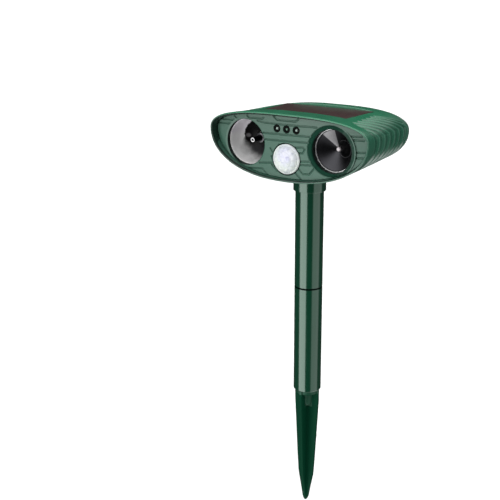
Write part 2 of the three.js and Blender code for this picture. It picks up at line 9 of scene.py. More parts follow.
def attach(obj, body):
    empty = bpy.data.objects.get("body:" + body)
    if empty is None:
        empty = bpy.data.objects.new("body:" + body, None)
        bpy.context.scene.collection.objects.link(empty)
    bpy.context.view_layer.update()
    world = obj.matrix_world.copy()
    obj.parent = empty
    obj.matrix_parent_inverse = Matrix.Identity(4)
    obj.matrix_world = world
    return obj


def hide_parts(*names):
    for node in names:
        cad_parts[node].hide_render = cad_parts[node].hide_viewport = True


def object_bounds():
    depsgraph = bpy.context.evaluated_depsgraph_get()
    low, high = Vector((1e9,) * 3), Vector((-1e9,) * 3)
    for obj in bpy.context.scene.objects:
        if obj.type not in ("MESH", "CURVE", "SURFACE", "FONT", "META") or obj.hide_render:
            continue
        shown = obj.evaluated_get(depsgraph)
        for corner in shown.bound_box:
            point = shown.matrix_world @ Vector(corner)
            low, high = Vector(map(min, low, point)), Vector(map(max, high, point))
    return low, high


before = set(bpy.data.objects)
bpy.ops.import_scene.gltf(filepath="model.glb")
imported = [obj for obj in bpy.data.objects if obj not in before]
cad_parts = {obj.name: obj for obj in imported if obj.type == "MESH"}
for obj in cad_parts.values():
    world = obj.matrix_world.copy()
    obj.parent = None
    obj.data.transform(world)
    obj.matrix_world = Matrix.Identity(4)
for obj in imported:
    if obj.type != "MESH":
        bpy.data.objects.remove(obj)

cad_lo, cad_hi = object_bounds()

HZ = 214.4            # head datum above the soil line, mm
FRONT_Y, HEAD_LEN, SPLIT_Y, REAR_ROUND, WALL = -41.4, 103.0, 50.3, 8.7, 2.2
BACK_Y = FRONT_Y + HEAD_LEN
PANEL_Y, PANEL_BOW, PANEL_T = -37.26, 0.00115, 2.4
HORN_X, HORN_Z, HORN_R = 39.29, 8.78, 19.46
STROBE_Z, STROBE_LIP, SPEAKER_LIP = 8.25, 18.6, 17.2
PIR_Z, PIR_R, PIR_RISE = -1.21, 12.03, 5.5
LED_Z, LED_PITCH = 22.45, 8.84
SOLAR_X, SOLAR_Y0, SOLAR_Y1, SOLAR_TOP, SOLAR_T = 40.95, -17.0, 30.8, 30.6, 2.3
POLE_R, POLE_BORE, SPIGOT_R, SEAM_Z, LOWER_BOTTOM, SPIGOT_LEN = 11.84, 10.15, 10.0, 97.55, 3.5, 21.5
SURROUND_X, SURROUND_R = 38.9, 20.0      # flat ring round the speaker opening
COLLAR_R, COLLAR_BOTTOM, SOCKET_BORE, SOCKET_TOP = 13.55, -33.28, 12.12, -6.0
FLANGE_R, FLANGE_TOP, FIN_T = 10.3, 3.2, 2.6
DIAL_X, DIAL_Z, DIAL_R, DIAL_WELL = -26.0, 7.0, 8.0, 10.5
BUTTON_X, BUTTON_Z, BUTTON_R = 2.0, 7.0, 4.6
PORT_X, PORT_Z = 24.0, 5.6
HINGE_Y, HINGE_Z = BACK_Y + 1.5, PORT_Z + 7.0
SCREWS = [(-44.5, 9.5), (44.5, 9.5), (-12.0, -4.5), (12.0, -4.5)]
BOARD_Y = 47.0

# ------------------------------------------------------------------ node helpers


class Tree:
    """Short names for the nodes a material or the world is made of."""

    def __init__(self, tree):
        self.t = tree
        self.n = tree.nodes
        self.l = tree.links

    def put(self, socket, value):
        if isinstance(value, bpy.types.NodeSocket):
            self.l.new(value, socket)
        elif value is not None:
            socket.default_value = value

    def node(self, kind, **props):
        n = self.n.new(kind)
        for k, v in props.items():
            setattr(n, k, v)
        return n

    def math(self, op, a, b=None, c=None, clamp=False):
        n = self.node("ShaderNodeMath", operation=op, use_clamp=clamp)
        self.put(n.inputs[0], a)
        self.put(n.inputs[1], b)
        self.put(n.inputs[2], c)
        return n.outputs[0]

    def vmath(self, op, a, b=None, scale=None):
        n = self.node("ShaderNodeVectorMath", operation=op)
        self.put(n.inputs[0], a)
        self.put(n.inputs[1], b)
        if scale is not None:
            self.put(n.inputs["Scale"], scale)
        return n.outputs["Value"] if op in ("DOT_PRODUCT", "LENGTH", "DISTANCE") else n.outputs["Vector"]

    def ramp(self, x, a, b, lo=0.0, hi=1.0, smooth=True):
        n = self.node("ShaderNodeMapRange", interpolation_type="SMOOTHSTEP" if smooth else "LINEAR")
        self.put(n.inputs["Value"], x)
        self.put(n.inputs["From Min"], a)
        self.put(n.inputs["From Max"], b)
        self.put(n.inputs["To Min"], lo)
        self.put(n.inputs["To Max"], hi)
        return n.outputs["Result"]

    def band(self, x, a, b, c, d):
        """1 between b and c, falling to 0 at a and d"""
        return self.math("MULTIPLY", self.ramp(x, a, b), self.ramp(x, c, d, 1.0, 0.0))

    def mix(self, f, a, b, kind="MIX"):
        n = self.node("ShaderNodeMix", data_type="RGBA", blend_type=kind)
        self.put(n.inputs[0], f)
        self.put(n.inputs[6], a if isinstance(a, bpy.types.NodeSocket) else (*a, 1.0))
        self.put(n.inputs[7], b if isinstance(b, bpy.types.NodeSocket) else (*b, 1.0))
        return n.outputs[2]

    def noise(self, vec, scale, detail=4.0, rough=0.55, distortion=0.0):
        n = self.node("ShaderNodeTexNoise")
        self.put(n.inputs["Vector"], vec)
        n.inputs["Scale"].default_value = scale
        n.inputs["Detail"].default_value = detail
        n.inputs["Roughness"].default_value = rough
        n.inputs["Distortion"].default_value = distortion
        return n.outputs["Fac"]

    def voronoi(self, vec, scale, feature="F1", out="Distance"):
        n = self.node("ShaderNodeTexVoronoi", feature=feature)
        self.put(n.inputs["Vector"], vec)
        n.inputs["Scale"].default_value = scale
        return n.outputs[out]

    def mapped(self, vec, scale=(1, 1, 1), rot=(0, 0, 0), loc=(0, 0, 0)):
        n = self.node("ShaderNodeMapping")
        self.put(n.inputs["Vector"], vec)
        n.inputs["Scale"].default_value = scale
        n.inputs["Rotation"].default_value = rot
        n.inputs["Location"].default_value = loc
        return n.outputs["Vector"]

    def xyz(self, vec):
        n = self.node("ShaderNodeSeparateXYZ")
        self.put(n.inputs[0], vec)
        return n.outputs[0], n.outputs[1], n.outputs[2]

    def bump(self, height, strength, distance, normal=None):
        n = self.node("ShaderNodeBump")
        n.inputs["Strength"].default_value = strength
        n.inputs["Distance"].default_value = distance
        self.put(n.inputs["Height"], height)
        self.put(n.inputs["Normal"], normal)
        return n.outputs["Normal"]


def new_material(name):
    m = bpy.data.materials.new(name)
    m.use_nodes = True
    t = Tree(m.node_tree)
    t.n.clear()
    out = t.node("ShaderNodeOutputMaterial")
    b = t.node("ShaderNodeBsdfPrincipled")
    t.l.new(b.outputs[0], out.inputs["Surface"])
    coord = t.node("ShaderNodeTexCoord").outputs["Object"]
    return m, t, b, coord


def worn(t, amount):
    """0 on flats, up to amount on convex edges, broken up by the caller's noise"""
    g = t.node("ShaderNodeNewGeometry")
    return t.ramp(g.outputs["Pointiness"], 0.52, 0.60, 0.0, amount)


def plastic(name, colour, rough, var=0.08, grain=1800.0, bump=0.12, depth=2.5e-5, wear=0.25, spec=0.5, coat=0.0,
            coat_rough=0.1, flow=None, tint=None, rough_var=0.07, gloss=None, spec_tint=(1.0, 1.0, 1.0)):
    """Moulded plastic: slow colour drift, spark-eroded grain, uneven gloss and paler rubbed edges"""
    m, t, b, co = new_material(name)
    slow = t.noise(co, 28.0, 3.0)
    fine = t.noise(co, grain, 2.0, 0.6)
    dark = tuple(c * (1 - var) for c in colour)
    lite = tuple(min(1.0, c * (1 + var)) for c in colour)
    c = t.mix(slow, dark, lite)
    c = t.mix(t.ramp(fine, 0.35, 0.75, 0.0, 0.35), c, tuple(min(1, x * (1 + 1.6 * var)) for x in colour))
    if tint is not None:
        c = tint(t, co, c)
    edge = t.math("MULTIPLY", worn(t, wear), t.ramp(t.noise(co, 240.0, 5.0), 0.35, 0.65, 0.35, 1.0))
    c = t.mix(edge, c, tuple(min(1.0, 0.75 * x + 0.18) for x in colour))
    t.put(b.inputs["Base Color"], c)
    smear = t.noise(t.mapped(co, flow or (60, 60, 60)), 1.0, 5.0, 0.6)
    t.put(b.inputs["Roughness"], t.math("ADD", t.ramp(smear, 0.3, 0.7, rough - rough_var, rough + rough_var), t.math("MULTIPLY", fine, 0.04)))
    if gloss is not None:
        k = gloss(t, co)
        t.put(b.inputs["Specular IOR Level"], t.math("MULTIPLY", k, spec))
        t.put(b.inputs["Coat Weight"], t.math("MULTIPLY", k, coat))
    else:
        b.inputs["Specular IOR Level"].default_value = spec
        b.inputs["Coat Weight"].default_value = coat
    b.inputs["Coat Roughness"].default_value = coat_rough
    b.inputs["Specular Tint"].default_value = (*spec_tint, 1.0)
    n1 = t.bump(fine, bump, depth)
    t.put(b.inputs["Normal"], t.bump(t.noise(co, 55.0, 2.0), 0.05, 2.0e-4, n1))
    return m


def metal(name, colour, rough, brushed=None, scratch=0.2, aniso=0.0, tangent=None, tint=None, rough_var=0.05, metallic=1.0):
    """Bright or turned metal with fine lines, haze and a few scratches"""
    m, t, b, co = new_material(name)
    b.inputs["Metallic"].default_value = metallic
    haze = t.noise(co, 90.0, 5.0, 0.6)
    lines = t.noise(t.mapped(co, brushed or (900, 900, 900)), 1.0, 3.0, 0.6)
    c = t.mix(haze, tuple(x * 0.93 for x in colour), tuple(min(1, x * 1.05) for x in colour))
    if tint is not None:
        c = tint(t, co, c)
    t.put(b.inputs["Base Color"], c)
    t.put(b.inputs["Roughness"], t.math("ADD", t.ramp(haze, 0.3, 0.7, rough, rough + rough_var), t.math("MULTIPLY", lines, 0.04)))
    b.inputs["Anisotropic"].default_value = aniso
    if tangent:
        tg = t.node("ShaderNodeTangent", direction_type="RADIAL", axis=tangent)
        t.l.new(tg.outputs[0], b.inputs["Tangent"])
    t.put(b.inputs["Normal"], t.bump(lines, scratch, 1.0e-5))
    return m


# ------------------------------------------------------------------ mesh helpers

MADE = {}


def raw(name, verts, faces):
    """an object in head or pole millimetres, turned to metres, faces out"""
    me = bpy.data.meshes.new(name)
    me.from_pydata((np.asarray(verts, float) * 0.001).tolist(), [], faces)
    bm = bmesh.new()
    bm.from_mesh(me)
    bmesh.ops.remove_doubles(bm, verts=bm.verts, dist=1e-7)
    bmesh.ops.recalc_face_normals(bm, faces=bm.faces)
    bm.to_mesh(me)
    bm.free()
    o = bpy.data.objects.new(name, me)
    bpy.context.scene.collection.objects.link(o)
    return o


def combine(o, others, op="DIFFERENCE", solver="MANIFOLD"):
    for c in others:
        m = o.modifiers.new("b", "BOOLEAN")
        m.operation = op
        m.solver = solver
        m.object = c
        dg = bpy.context.evaluated_depsgraph_get()
        me = bpy.data.meshes.new_from_object(o.evaluated_get(dg))
        o.modifiers.clear()
        old = o.data
        if len(me.polygons) == 0:
            raise RuntimeError(f"boolean {op} left {o.name} empty with {c.name}")
        o.data = me
        bpy.data.meshes.remove(old)
        bpy.data.objects.remove(c)
    return o


def piece(o, body, nodes, mat, lift=HZ, sharp=32.0):
    """finish a piece: lift it into the frame, smooth it, give it its material and body, and hide the CAD nodes it
    stands in for
    """
    me = o.data
    if lift:
        me.transform(Matrix.Translation((0, 0, lift * 0.001)))
    bm = bmesh.new()
    bm.from_mesh(me)
    bmesh.ops.dissolve_degenerate(bm, dist=2e-6, edges=bm.edges)
    bm.to_mesh(me)
    bm.free()
    me.materials.clear()
    me.materials.append(mat)
    me.shade_smooth()
    me.set_sharp_from_angle(angle=math.radians(sharp))
    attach(o, body)
    if nodes:
        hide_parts(*nodes)
    MADE[o.name] = o
    return o


def loft(rings, closed=False, caps=True):
    """quads through rings of equal length; caps close the two ends with a fan about their middle"""
    n = len(rings[0])
    v = np.concatenate([np.asarray(r, float) for r in rings])
    f = []
    m = len(rings)
    for k in range(m if closed else m - 1):
        a, b = k * n, ((k + 1) % m) * n
        for i in range(n):
            j = (i + 1) % n
            f.append((a + i, a + j, b + j, b + i))
    v = v.tolist()
    if not closed and caps:
        for k in (0, m - 1):
            c = len(v)
            v.append(np.mean(np.asarray(rings[k], float), axis=0).tolist())
            for i in range(n):
                f.append((c, k * n + i, k * n + (i + 1) % n))
    return v, f


def soft(profile, r, n=4, closed=False):
    """the same outline with every corner that isn't on the axis rounded to radius r"""
    p = [np.array(q, float) for q in profile]
    out = []
    m = len(p)
    for i in range(m):
        if not closed and i in (0, m - 1):
            out.append(p[i])
            continue
        a, b, c = p[i - 1], p[i], p[(i + 1) % m]
        rr = r[i] if isinstance(r, (list, tuple)) else r
        u, w = a - b, c - b
        lu, lw = np.linalg.norm(u), np.linalg.norm(w)
        if rr <= 0 or lu < 1e-6 or lw < 1e-6:
            out.append(b)
            continue
        u, w = u / lu, w / lw
        ang = math.acos(float(np.clip(u @ w, -1, 1)))
        if ang > math.radians(172):
            out.append(b)
            continue
        cut = min(rr / math.tan(ang / 2), lu * 0.46, lw * 0.46)
        for k in range(n + 1):
            q = k / n
            out.append((1 - q) ** 2 * (b + u * cut) + 2 * q * (1 - q) * b + q * q * (b + w * cut))
    return [tuple(q) for q in out]


def lathe(name, profile, axis="y", x=0.0, c=0.0, seg=96, closed=False, wobble=None):
    """turned piece; profile of (radius, height). Ends on the axis become one point each."""
    a = np.linspace(0, 2 * math.pi, seg, endpoint=False)
    v, f = [], []
    rows = []
    for r, h in profile:
        if r < 1e-9:
            rows.append([len(v)] * seg)
            v.append((x, h, c) if axis == "y" else (x, c, h))
            continue
        rr = r + (wobble(a, r, h) if wobble else 0 * a)
        start = len(v)
        for q, rq in zip(a, rr):
            v.append((x + rq * math.cos(q), h, c + rq * math.sin(q)) if axis == "y" else (x + rq * math.cos(q), c + rq * math.sin(q), h))
        rows.append(list(range(start, start + seg)))
    m = len(rows)
    for k in range(m if closed else m - 1):
        p, q = rows[k], rows[(k + 1) % m]
        for i in range(seg):
            j = (i + 1) % seg
            face = []
            for w in (p[i], p[j], q[j], q[i]):
                if w not in face:
                    face.append(w)
            if len(face) > 2:
                f.append(tuple(face))
    return raw(name, v, f)


def slab(name, x0, x1, y0, y1, z0, z1, r=0.0):
    """a plain block, its edges rounded by r"""
    bm = bmesh.new()
    bmesh.ops.create_cube(bm, size=1.0)
    for w in bm.verts:
        w.co = Vector(((x0 + x1) / 2 + w.co.x * (x1 - x0), (y0 + y1) / 2 + w.co.y * (y1 - y0), (z0 + z1) / 2 + w.co.z * (z1 - z0))) * 0.001
    if r > 0:
        bmesh.ops.bevel(bm, geom=bm.edges[:], offset=r * 0.001, segments=3, profile=0.5, affect="EDGES", clamp_overlap=True)
    bmesh.ops.recalc_face_normals(bm, faces=bm.faces)
    me = bpy.data.meshes.new(name)
    bm.to_mesh(me)
    bm.free()
    o = bpy.data.objects.new(name, me)
    bpy.context.scene.collection.objects.link(o)
    return o


def rod(name, r, y0, y1, x, z, seg=48, axis="y"):
    return lathe(name, [(0, y0), (r, y0), (r, y1), (0, y1)], axis, x, z, seg)


# ------------------------------------------------------------------ head form

TL = np.array([[-0.05, 35.04], [0, 35.04], [0.06, 34.7], [0.15, 34.0], [0.237, 33.55], [0.4, 33.35], [0.55, 33.2],
               [0.7, 32.7], [0.85, 31.2], [1, 28.4], [1.1, 26.2]])
_t = np.linspace(-0.2, 1.25, 1451)
_z = np.interp(_t, TL[:, 0], TL[:, 1])
_k = np.exp(-0.5 * (np.arange(-90, 91) / 28.0) ** 2)
_zs = np.convolve(np.pad(_z, 90, mode="edge"), _k / _k.sum(), mode="valid")


def dims(y):
    t = (np.asarray(y, float) - FRONT_Y) / HEAD_LEN
    w = 72.5 * (1 - 0.095 * t - 0.068 * t * t)
    return w, np.interp(t, _t, _zs), -18.91 + 1.86 * t - 1.28 * t * t, 17.55 - 4.76 * t


def form(y, a, d=0.0):
    """points of the head's skin at depth y and section angle a, pressed in by d"""
    y = np.broadcast_to(np.asarray(y, float), a.shape)
    w, zt, zb, zw = dims(y)
    c, s = np.cos(a), np.sin(a)
    up = s >= 0
    m = np.where(up, 2.83, 2.27)
    n = np.where(up, 2.36, 2.1)
    x = (w - d) * np.sign(c) * np.abs(c) ** (2 / m)
    z = np.where(up, zw + (zt - d - zw) * np.abs(s) ** (2 / n), zw - (zw - zb - d) * np.abs(s) ** (2 / n))
    return np.stack([x, y, z], -1)


def top_z(x, y):
    w, zt, zb, zw = dims(y)
    c = np.clip(np.abs(x) / w, 0, 0.999) ** (2.83 / 2)
    return zw + (zt - zw) * np.sqrt(1 - c * c) ** (2 / 2.36)


def even_angles(n):
    """section angles that space n points evenly round the skin"""
    a = np.linspace(0, 2 * math.pi, 40001)
    p = form(0.0, a)
    s = np.r_[0, np.cumsum(np.linalg.norm(np.diff(p, axis=0), axis=1))]
    return np.interp((np.arange(n) + 0.5) / n * s[-1], s, a)


SWEEP = np.array([[-90, 6, 11], [10, 6, 11], [24, -0.5, 9.8], [30, -5, 9.5], [42, -13, 8.7], [50, -18, 8.2], [90, -18, 8.2]], float)


def sstep(x, a, b):
    q = np.clip((x - a) / (b - a), 0, 1)
    return q * q * (3 - 2 * q)


def rib_depth(y, a, depth=1.15):
    """how far the skin is pressed in between the swept ribs"""
    deg = np.degrees(np.arcsin(np.clip(np.sin(a), -1, 1)))
    y0 = np.interp(deg, SWEEP[:, 0], SWEEP[:, 1])
    p = np.interp(deg, SWEEP[:, 0], SWEEP[:, 2])
    u = (y - y0) / p
    h = 0.45 * (0.5 - 0.5 * np.cos(2 * math.pi * u)) + 0.55 * (1 - np.sqrt(np.cos(math.pi * u) ** 2 + 0.004)) * 1.03
    k = sstep(deg, 53.5, 48.5) * sstep(deg, -50, -36) * sstep(y, -29.5, -23) * sstep(y, 48, 44) * sstep(u, 4.65, 4.35)
    return depth * np.clip(h, 0, 1) * k


def rim_bow(p):
    """the rim edge falls back towards the ends"""
    q = 1 - sstep(p[:, 1], FRONT_Y, -27.0)
    p = p.copy()
    p[:, 1] += 0.00055 * p[:, 0] ** 2 * q
    return p


NA = 520
A = even_angles(NA)

# ------------------------------------------------------------------ materials


def skin_tint(t, co, c):
    """flanks painted darker than the crown as painted shade, rib crests painted pale as painted highlight, rib valleys
    painted dark as painted shade, and painted shade inside the rim
    """
    x, y, z = t.xyz(co)
    h = t.math("SUBTRACT", z, HZ * 0.001)
    # flanks below the crown painted darker: painted shade
    k = t.ramp(h, 0.020, 0.031)
    c = t.mix(k, t.mix(0.72, c, (0.014, 0.058, 0.039)), c)
    # section angle, then the phase of the swept ribs
    q = t.math("DIVIDE", t.math("SUBTRACT", y, FRONT_Y * 0.001), HEAD_LEN * 0.001)
    zw = t.math("MULTIPLY_ADD", q, -0.00476, 0.01755)
    zt = t.math("MULTIPLY_ADD", t.ramp(q, 0.65, 1.0, 0.0, 1.0, False), -0.0045, 0.0334)
    up = t.math("DIVIDE", t.math("SUBTRACT", h, zw), t.math("SUBTRACT", zt, zw), clamp=True)
    deg = t.math("DEGREES", t.math("ARCSINE", t.math("POWER", up, 1.18, clamp=True)))
    y0, p = 0.006, 0.011
    for (a0, ya, pa), (a1, yb, pb) in zip(SWEEP[1:-2], SWEEP[2:-1]):
        y0 = t.math("ADD", t.ramp(deg, float(a0), float(a1), 0.0, float(yb - ya) * 0.001, False), y0)
        p = t.math("ADD", t.ramp(deg, float(a0), float(a1), 0.0, float(pb - pa) * 0.001, False), p)
    u = t.math("DIVIDE", t.math("SUBTRACT", y, y0), p)
    wave = t.math("MULTIPLY_ADD", t.math("COSINE", t.math("MULTIPLY", u, 2 * math.pi)), 0.5, 0.5)
    zone = t.math("MULTIPLY", t.ramp(deg, 48.5, 54.0, 1.0, 0.0), t.math("MULTIPLY", t.ramp(y, -0.0285, -0.0225), t.ramp(u, 4.35, 4.65, 1.0, 0.0)))
    zone = t.math("MULTIPLY", zone, t.ramp(h, -0.014, -0.006))
    # rib valleys painted dark as painted shade and rib crests painted pale as painted highlight, broken up by noise
    painted_rib_noise = t.ramp(t.noise(co, 160.0, 4.0), 0.3, 0.7, 0.75, 1.0)
    c = t.mix(t.math("MULTIPLY", t.math("MULTIPLY", zone, painted_rib_noise), t.ramp(wave, 0.0, 0.55, 0.55, 0.0)), c, (0.003, 0.032, 0.018))
    c = t.mix(t.math("MULTIPLY", t.math("MULTIPLY", zone, painted_rib_noise), t.ramp(wave, 0.86, 1.0, 0.0, 0.32)), c, (0.14, 0.30, 0.22))
    # inside of the rim painted dark: painted shade on the rim's inner wall
    n = t.node("ShaderNodeTexCoord").outputs["Normal"]
    out = t.node("ShaderNodeCombineXYZ")
    t.put(out.inputs[0], t.math("MULTIPLY", x, 1.9e5))
    t.put(out.inputs[2], t.math("MULTIPLY", t.math("SUBTRACT", h, 0.0075), 1.4e6))
    face = t.vmath("DOT_PRODUCT", n, t.vmath("NORMALIZE", out.outputs[0]))
    wall = t.ramp(face, -0.55, -0.20, 1.0, 0.0)
    wall = t.math("MULTIPLY", wall, t.ramp(y, -0.020, -0.016, 1.0, 0.0))
    deep = t.math("SUBTRACT", t.math("SUBTRACT", y, FRONT_Y * 0.001), t.math("MULTIPLY", t.math("MULTIPLY", x, x), 0.55))
    limit = t.ramp(h, 0.004, 0.015, 0.0024, 0.0200)
    c = t.mix(wall, c, (0.030, 0.090, 0.062))
    return t.mix(t.math("MULTIPLY", wall, t.ramp(t.math("SUBTRACT", deep, limit), -0.0004, 0.0004, 0.97, 0.0)), c, (0.001, 0.012, 0.007))


def bowl_tint(t, co, c):
    """painted reflection in the bowl's colour: pale at the outer side and below, with a pale lilac patch above, and
    painted dark through the rest of the bowl
    """
    x, y, z = t.xyz(co)
    dx = t.math("ADD", x, HORN_X * 0.001)
    dz = t.math("SUBTRACT", z, (HZ + STROBE_Z) * 0.001)
    ex, ez = t.math("SUBTRACT", dx, 0.003), t.math("SUBTRACT", dz, 0.001)
    r = t.math("POWER", t.math("ADD", t.math("MULTIPLY", ex, ex), t.math("MULTIPLY", ez, ez)), 0.5)
    soft_low = t.ramp(dz, -0.007, 0.002, 0.0052, 0.0004)
    r = t.math("ADD", r, t.math("MULTIPLY", t.math("SUBTRACT", t.noise(co, 170.0, 2.0), 0.5), 0.004))
    # painted dark reflection inside a circle about the bowl's middle, pale painted reflection outside it
    painted_dark_reflection = t.node("ShaderNodeMapRange", interpolation_type="SMOOTHSTEP")
    t.put(painted_dark_reflection.inputs["Value"], r)
    t.put(painted_dark_reflection.inputs["From Min"], t.math("SUBTRACT", 0.0153, soft_low))
    t.put(painted_dark_reflection.inputs["From Max"], t.math("ADD", 0.0153, soft_low))
    painted_dark_reflection.inputs["To Min"].default_value = 1.0
    painted_dark_reflection.inputs["To Max"].default_value = 0.0
    # pale lilac painted reflection on the upper part
    c = t.mix(t.ramp(dz, 0.001, 0.008, 0.0, 0.55), c, (0.72, 0.66, 0.76))
    lx, lz = t.math("ADD", dx, 0.0100), t.math("SUBTRACT", dz, 0.0016)
    lr = t.math("POWER", t.math("ADD", t.math("MULTIPLY", lx, lx), t.math("MULTIPLY", lz, lz)), 0.5)
    # colour of the painted dark reflection, with a grey spot in it
    dark = t.mix(t.ramp(lr, 0.0008, 0.0024, 1.0, 0.0), t.mix(t.ramp(dz, -0.011, -0.004, 0.9, 0.0), (0.002, 0.002, 0.002), (0.022, 0.022, 0.024)), (0.14, 0.135, 0.14))
    painted_pale_share = t.math("POWER", t.math("SUBTRACT", 1.0, painted_dark_reflection.outputs["Result"]), 2.1)
    return t.mix(painted_pale_share, dark, c)


def away(t, co, cx, cz):
    """distance in the plane of the face from the point cx, cz (head millimetres)"""
    x, y, z = t.xyz(co)
    dx = t.math("SUBTRACT", x, cx * 0.001)
    dz = t.math("SUBTRACT", z, (HZ + cz) * 0.001)
    return t.math("POWER", t.math("ADD", t.math("MULTIPLY", dx, dx), t.math("MULTIPLY", dz, dz)), 0.5)


def face_tint(t, co, c):
    """a paler greyer top as painted light, a darker surround at the speaker, painted shade on the walls of the
    openings, and painted shade in the moulded lines
    """
    x, y, z = t.xyz(co)
    # upper face painted paler and greyer: painted light
    c = t.mix(t.ramp(z, 0.214 + 0.006, 0.214 + 0.030, 0.0, 0.35), c, (0.075, 0.115, 0.092))
    c = t.mix(t.ramp(away(t, co, SURROUND_X, HORN_Z), SURROUND_R * 0.001 - 0.0001, SURROUND_R * 0.001 + 0.0001, 1.0, 0.0), c, (0.004, 0.034, 0.020))
    # walls of the speaker, sensor and lamp openings painted near black: painted shade
    r = away(t, co, HORN_X, HORN_Z)
    wall = t.math("MULTIPLY", t.ramp(r, 0.0181, 0.0183, 1.0, 0.0), t.ramp(y, -0.0352, -0.0335))
    c = t.mix(wall, c, (0.002, 0.006, 0.005))
    c = t.mix(t.ramp(away(t, co, 0.0, PIR_Z), 0.01290, 0.01325, 1.0, 0.0), c, (0.002, 0.014, 0.008))
    c = t.mix(t.ramp(away(t, co, -HORN_X, STROBE_Z), 0.01868, 0.01878, 1.0, 0.0), c, (0.002, 0.006, 0.005))
    # hollows of the moulded lines painted darker: painted shade
    g = t.node("ShaderNodeNewGeometry")
    return t.mix(t.ramp(g.outputs["Pointiness"], 0.40, 0.49, 0.85, 0.0), c, (0.003, 0.012, 0.008))


def face_gloss(t, co):
    """matt surround and opening walls, satin face"""
    k = t.ramp(away(t, co, SURROUND_X, HORN_Z), SURROUND_R * 0.001 - 0.0001, SURROUND_R * 0.001 + 0.0001, 0.08, 1.0)
    k = t.math("MULTIPLY", k, t.ramp(away(t, co, -HORN_X, STROBE_Z), 0.01868, 0.0188, 0.05, 1.0))
    return t.math("MULTIPLY", k, t.ramp(away(t, co, 0.0, PIR_Z), 0.0129, 0.0132, 0.1, 1.0))


def pole_tint(t, co, c):
    x, y, z = t.xyz(co)
    # the joint gap between the poles painted near black: painted shade
    return t.mix(t.band(z, SEAM_Z * 0.001 - 0.00085, SEAM_Z * 0.001 - 0.0006, SEAM_Z * 0.001 + 0.0007, SEAM_Z * 0.001 + 0.00095), c, (0.0008, 0.006, 0.003))


def pole_gloss(t, co):
    """the turned-in ends at the joint are dull"""
    x, y, z = t.xyz(co)
    return t.math("SUBTRACT", 1.0, t.band(z, SEAM_Z * 0.001 - 0.00085, SEAM_Z * 0.001 - 0.0006, SEAM_Z * 0.001 + 0.0007, SEAM_Z * 0.001 + 0.00095))


M_SHELL = plastic("shell_green", (0.007, 0.150, 0.070), 0.27, var=0.10, grain=1500, bump=0.12, wear=0.35, tint=skin_tint, coat=0.35, coat_rough=0.2)
M_FACE = plastic("face_green", (0.030, 0.098, 0.066), 0.42, var=0.07, grain=1300, bump=0.2, wear=0.15, flow=(20, 20, 90), tint=face_tint, gloss=face_gloss)
M_POLE = plastic("pole_green", (0.0008, 0.031, 0.0145), 0.14, var=0.12, grain=900, bump=0.05, wear=0.08, flow=(80, 80, 9), rough_var=0.03, coat=0.45, coat_rough=0.12, spec=1.0, spec_tint=(0.74, 1.0, 0.86), tint=pole_tint, gloss=pole_gloss)
M_SPIKE = plastic("spike_green", (0.0010, 0.030, 0.0142), 0.42, var=0.15, grain=900, bump=0.12, wear=0.0, flow=(70, 70, 12), spec=0.05, spec_tint=(0.55, 1.0, 0.78))
t = Tree(M_SPIKE.node_tree)
_b = next(n for n in M_SPIKE.node_tree.nodes if n.type == "BSDF_PRINCIPLED")
_x, _y, _z = t.xyz(t.node("ShaderNodeTexCoord").outputs["Object"])
_r = t.math("POWER", t.math("ADD", t.math("MULTIPLY", _x, _x), t.math("MULTIPLY", _y, _y)), 0.5)
# the round plug and its stub come polished from the tool, the blades do not
_polish = t.math("MAXIMUM", t.ramp(_z, 0.0, 0.001), t.math("MULTIPLY", t.ramp(_r, 0.00575, 0.0060, 1.0, 0.0), t.ramp(_z, -0.0140, -0.0130)))
t.put(_b.inputs["Specular IOR Level"], t.math("MULTIPLY_ADD", _polish, 0.5, 0.04))
M_BLACK = plastic("black_plastic", (0.003, 0.004, 0.0035), 0.5, var=0.2, grain=1600, bump=0.25, wear=0.015, spec=0.06)
M_RUBBER = plastic("flap_rubber", (0.013, 0.014, 0.014), 0.7, var=0.2, grain=700, bump=0.4, wear=0.1, spec=0.3)
M_FOAM = plastic("foam_tape", (0.010, 0.010, 0.011), 0.85, var=0.3, grain=2600, bump=0.8, depth=8e-5, wear=0.0, spec=0.2)
M_RED = plastic("button_red", (0.36, 0.018, 0.012), 0.35, var=0.08, grain=1200, bump=0.15, wear=0.3)
M_WIRE = plastic("wire_red", (0.40, 0.030, 0.020), 0.35, var=0.1, grain=600, bump=0.1)
M_WRAP = plastic("cell_wrap", (0.05, 0.25, 0.07), 0.25, var=0.12, grain=300, bump=0.1, flow=(6, 200, 200))
M_FERRITE = plastic("ferrite", (0.030, 0.030, 0.032), 0.65, var=0.25, grain=2500, bump=0.6)
M_STEEL = metal("zinc_steel", (0.46, 0.46, 0.47), 0.30, brushed=(300, 300, 4000))
M_COPPER = metal("copper_winding", (0.52, 0.27, 0.10), 0.32, brushed=(100, 9000, 100), scratch=0.6)
M_PIN = metal("pin_metal", (0.62, 0.58, 0.60), 0.55, scratch=0.1, metallic=0.2)
M_SILVER = metal("silver_trim", (0.62, 0.625, 0.63), 0.36, scratch=0.1)
M_CHROME = metal("chrome_bowl", (0.97, 0.96, 0.955), 0.34, brushed=(150, 150, 150), scratch=0.06, rough_var=0.05, tint=bowl_tint, metallic=0.3)
next(n for n in M_CHROME.node_tree.nodes if n.type == "BSDF_PRINCIPLED").inputs["Specular IOR Level"].default_value = 0.12


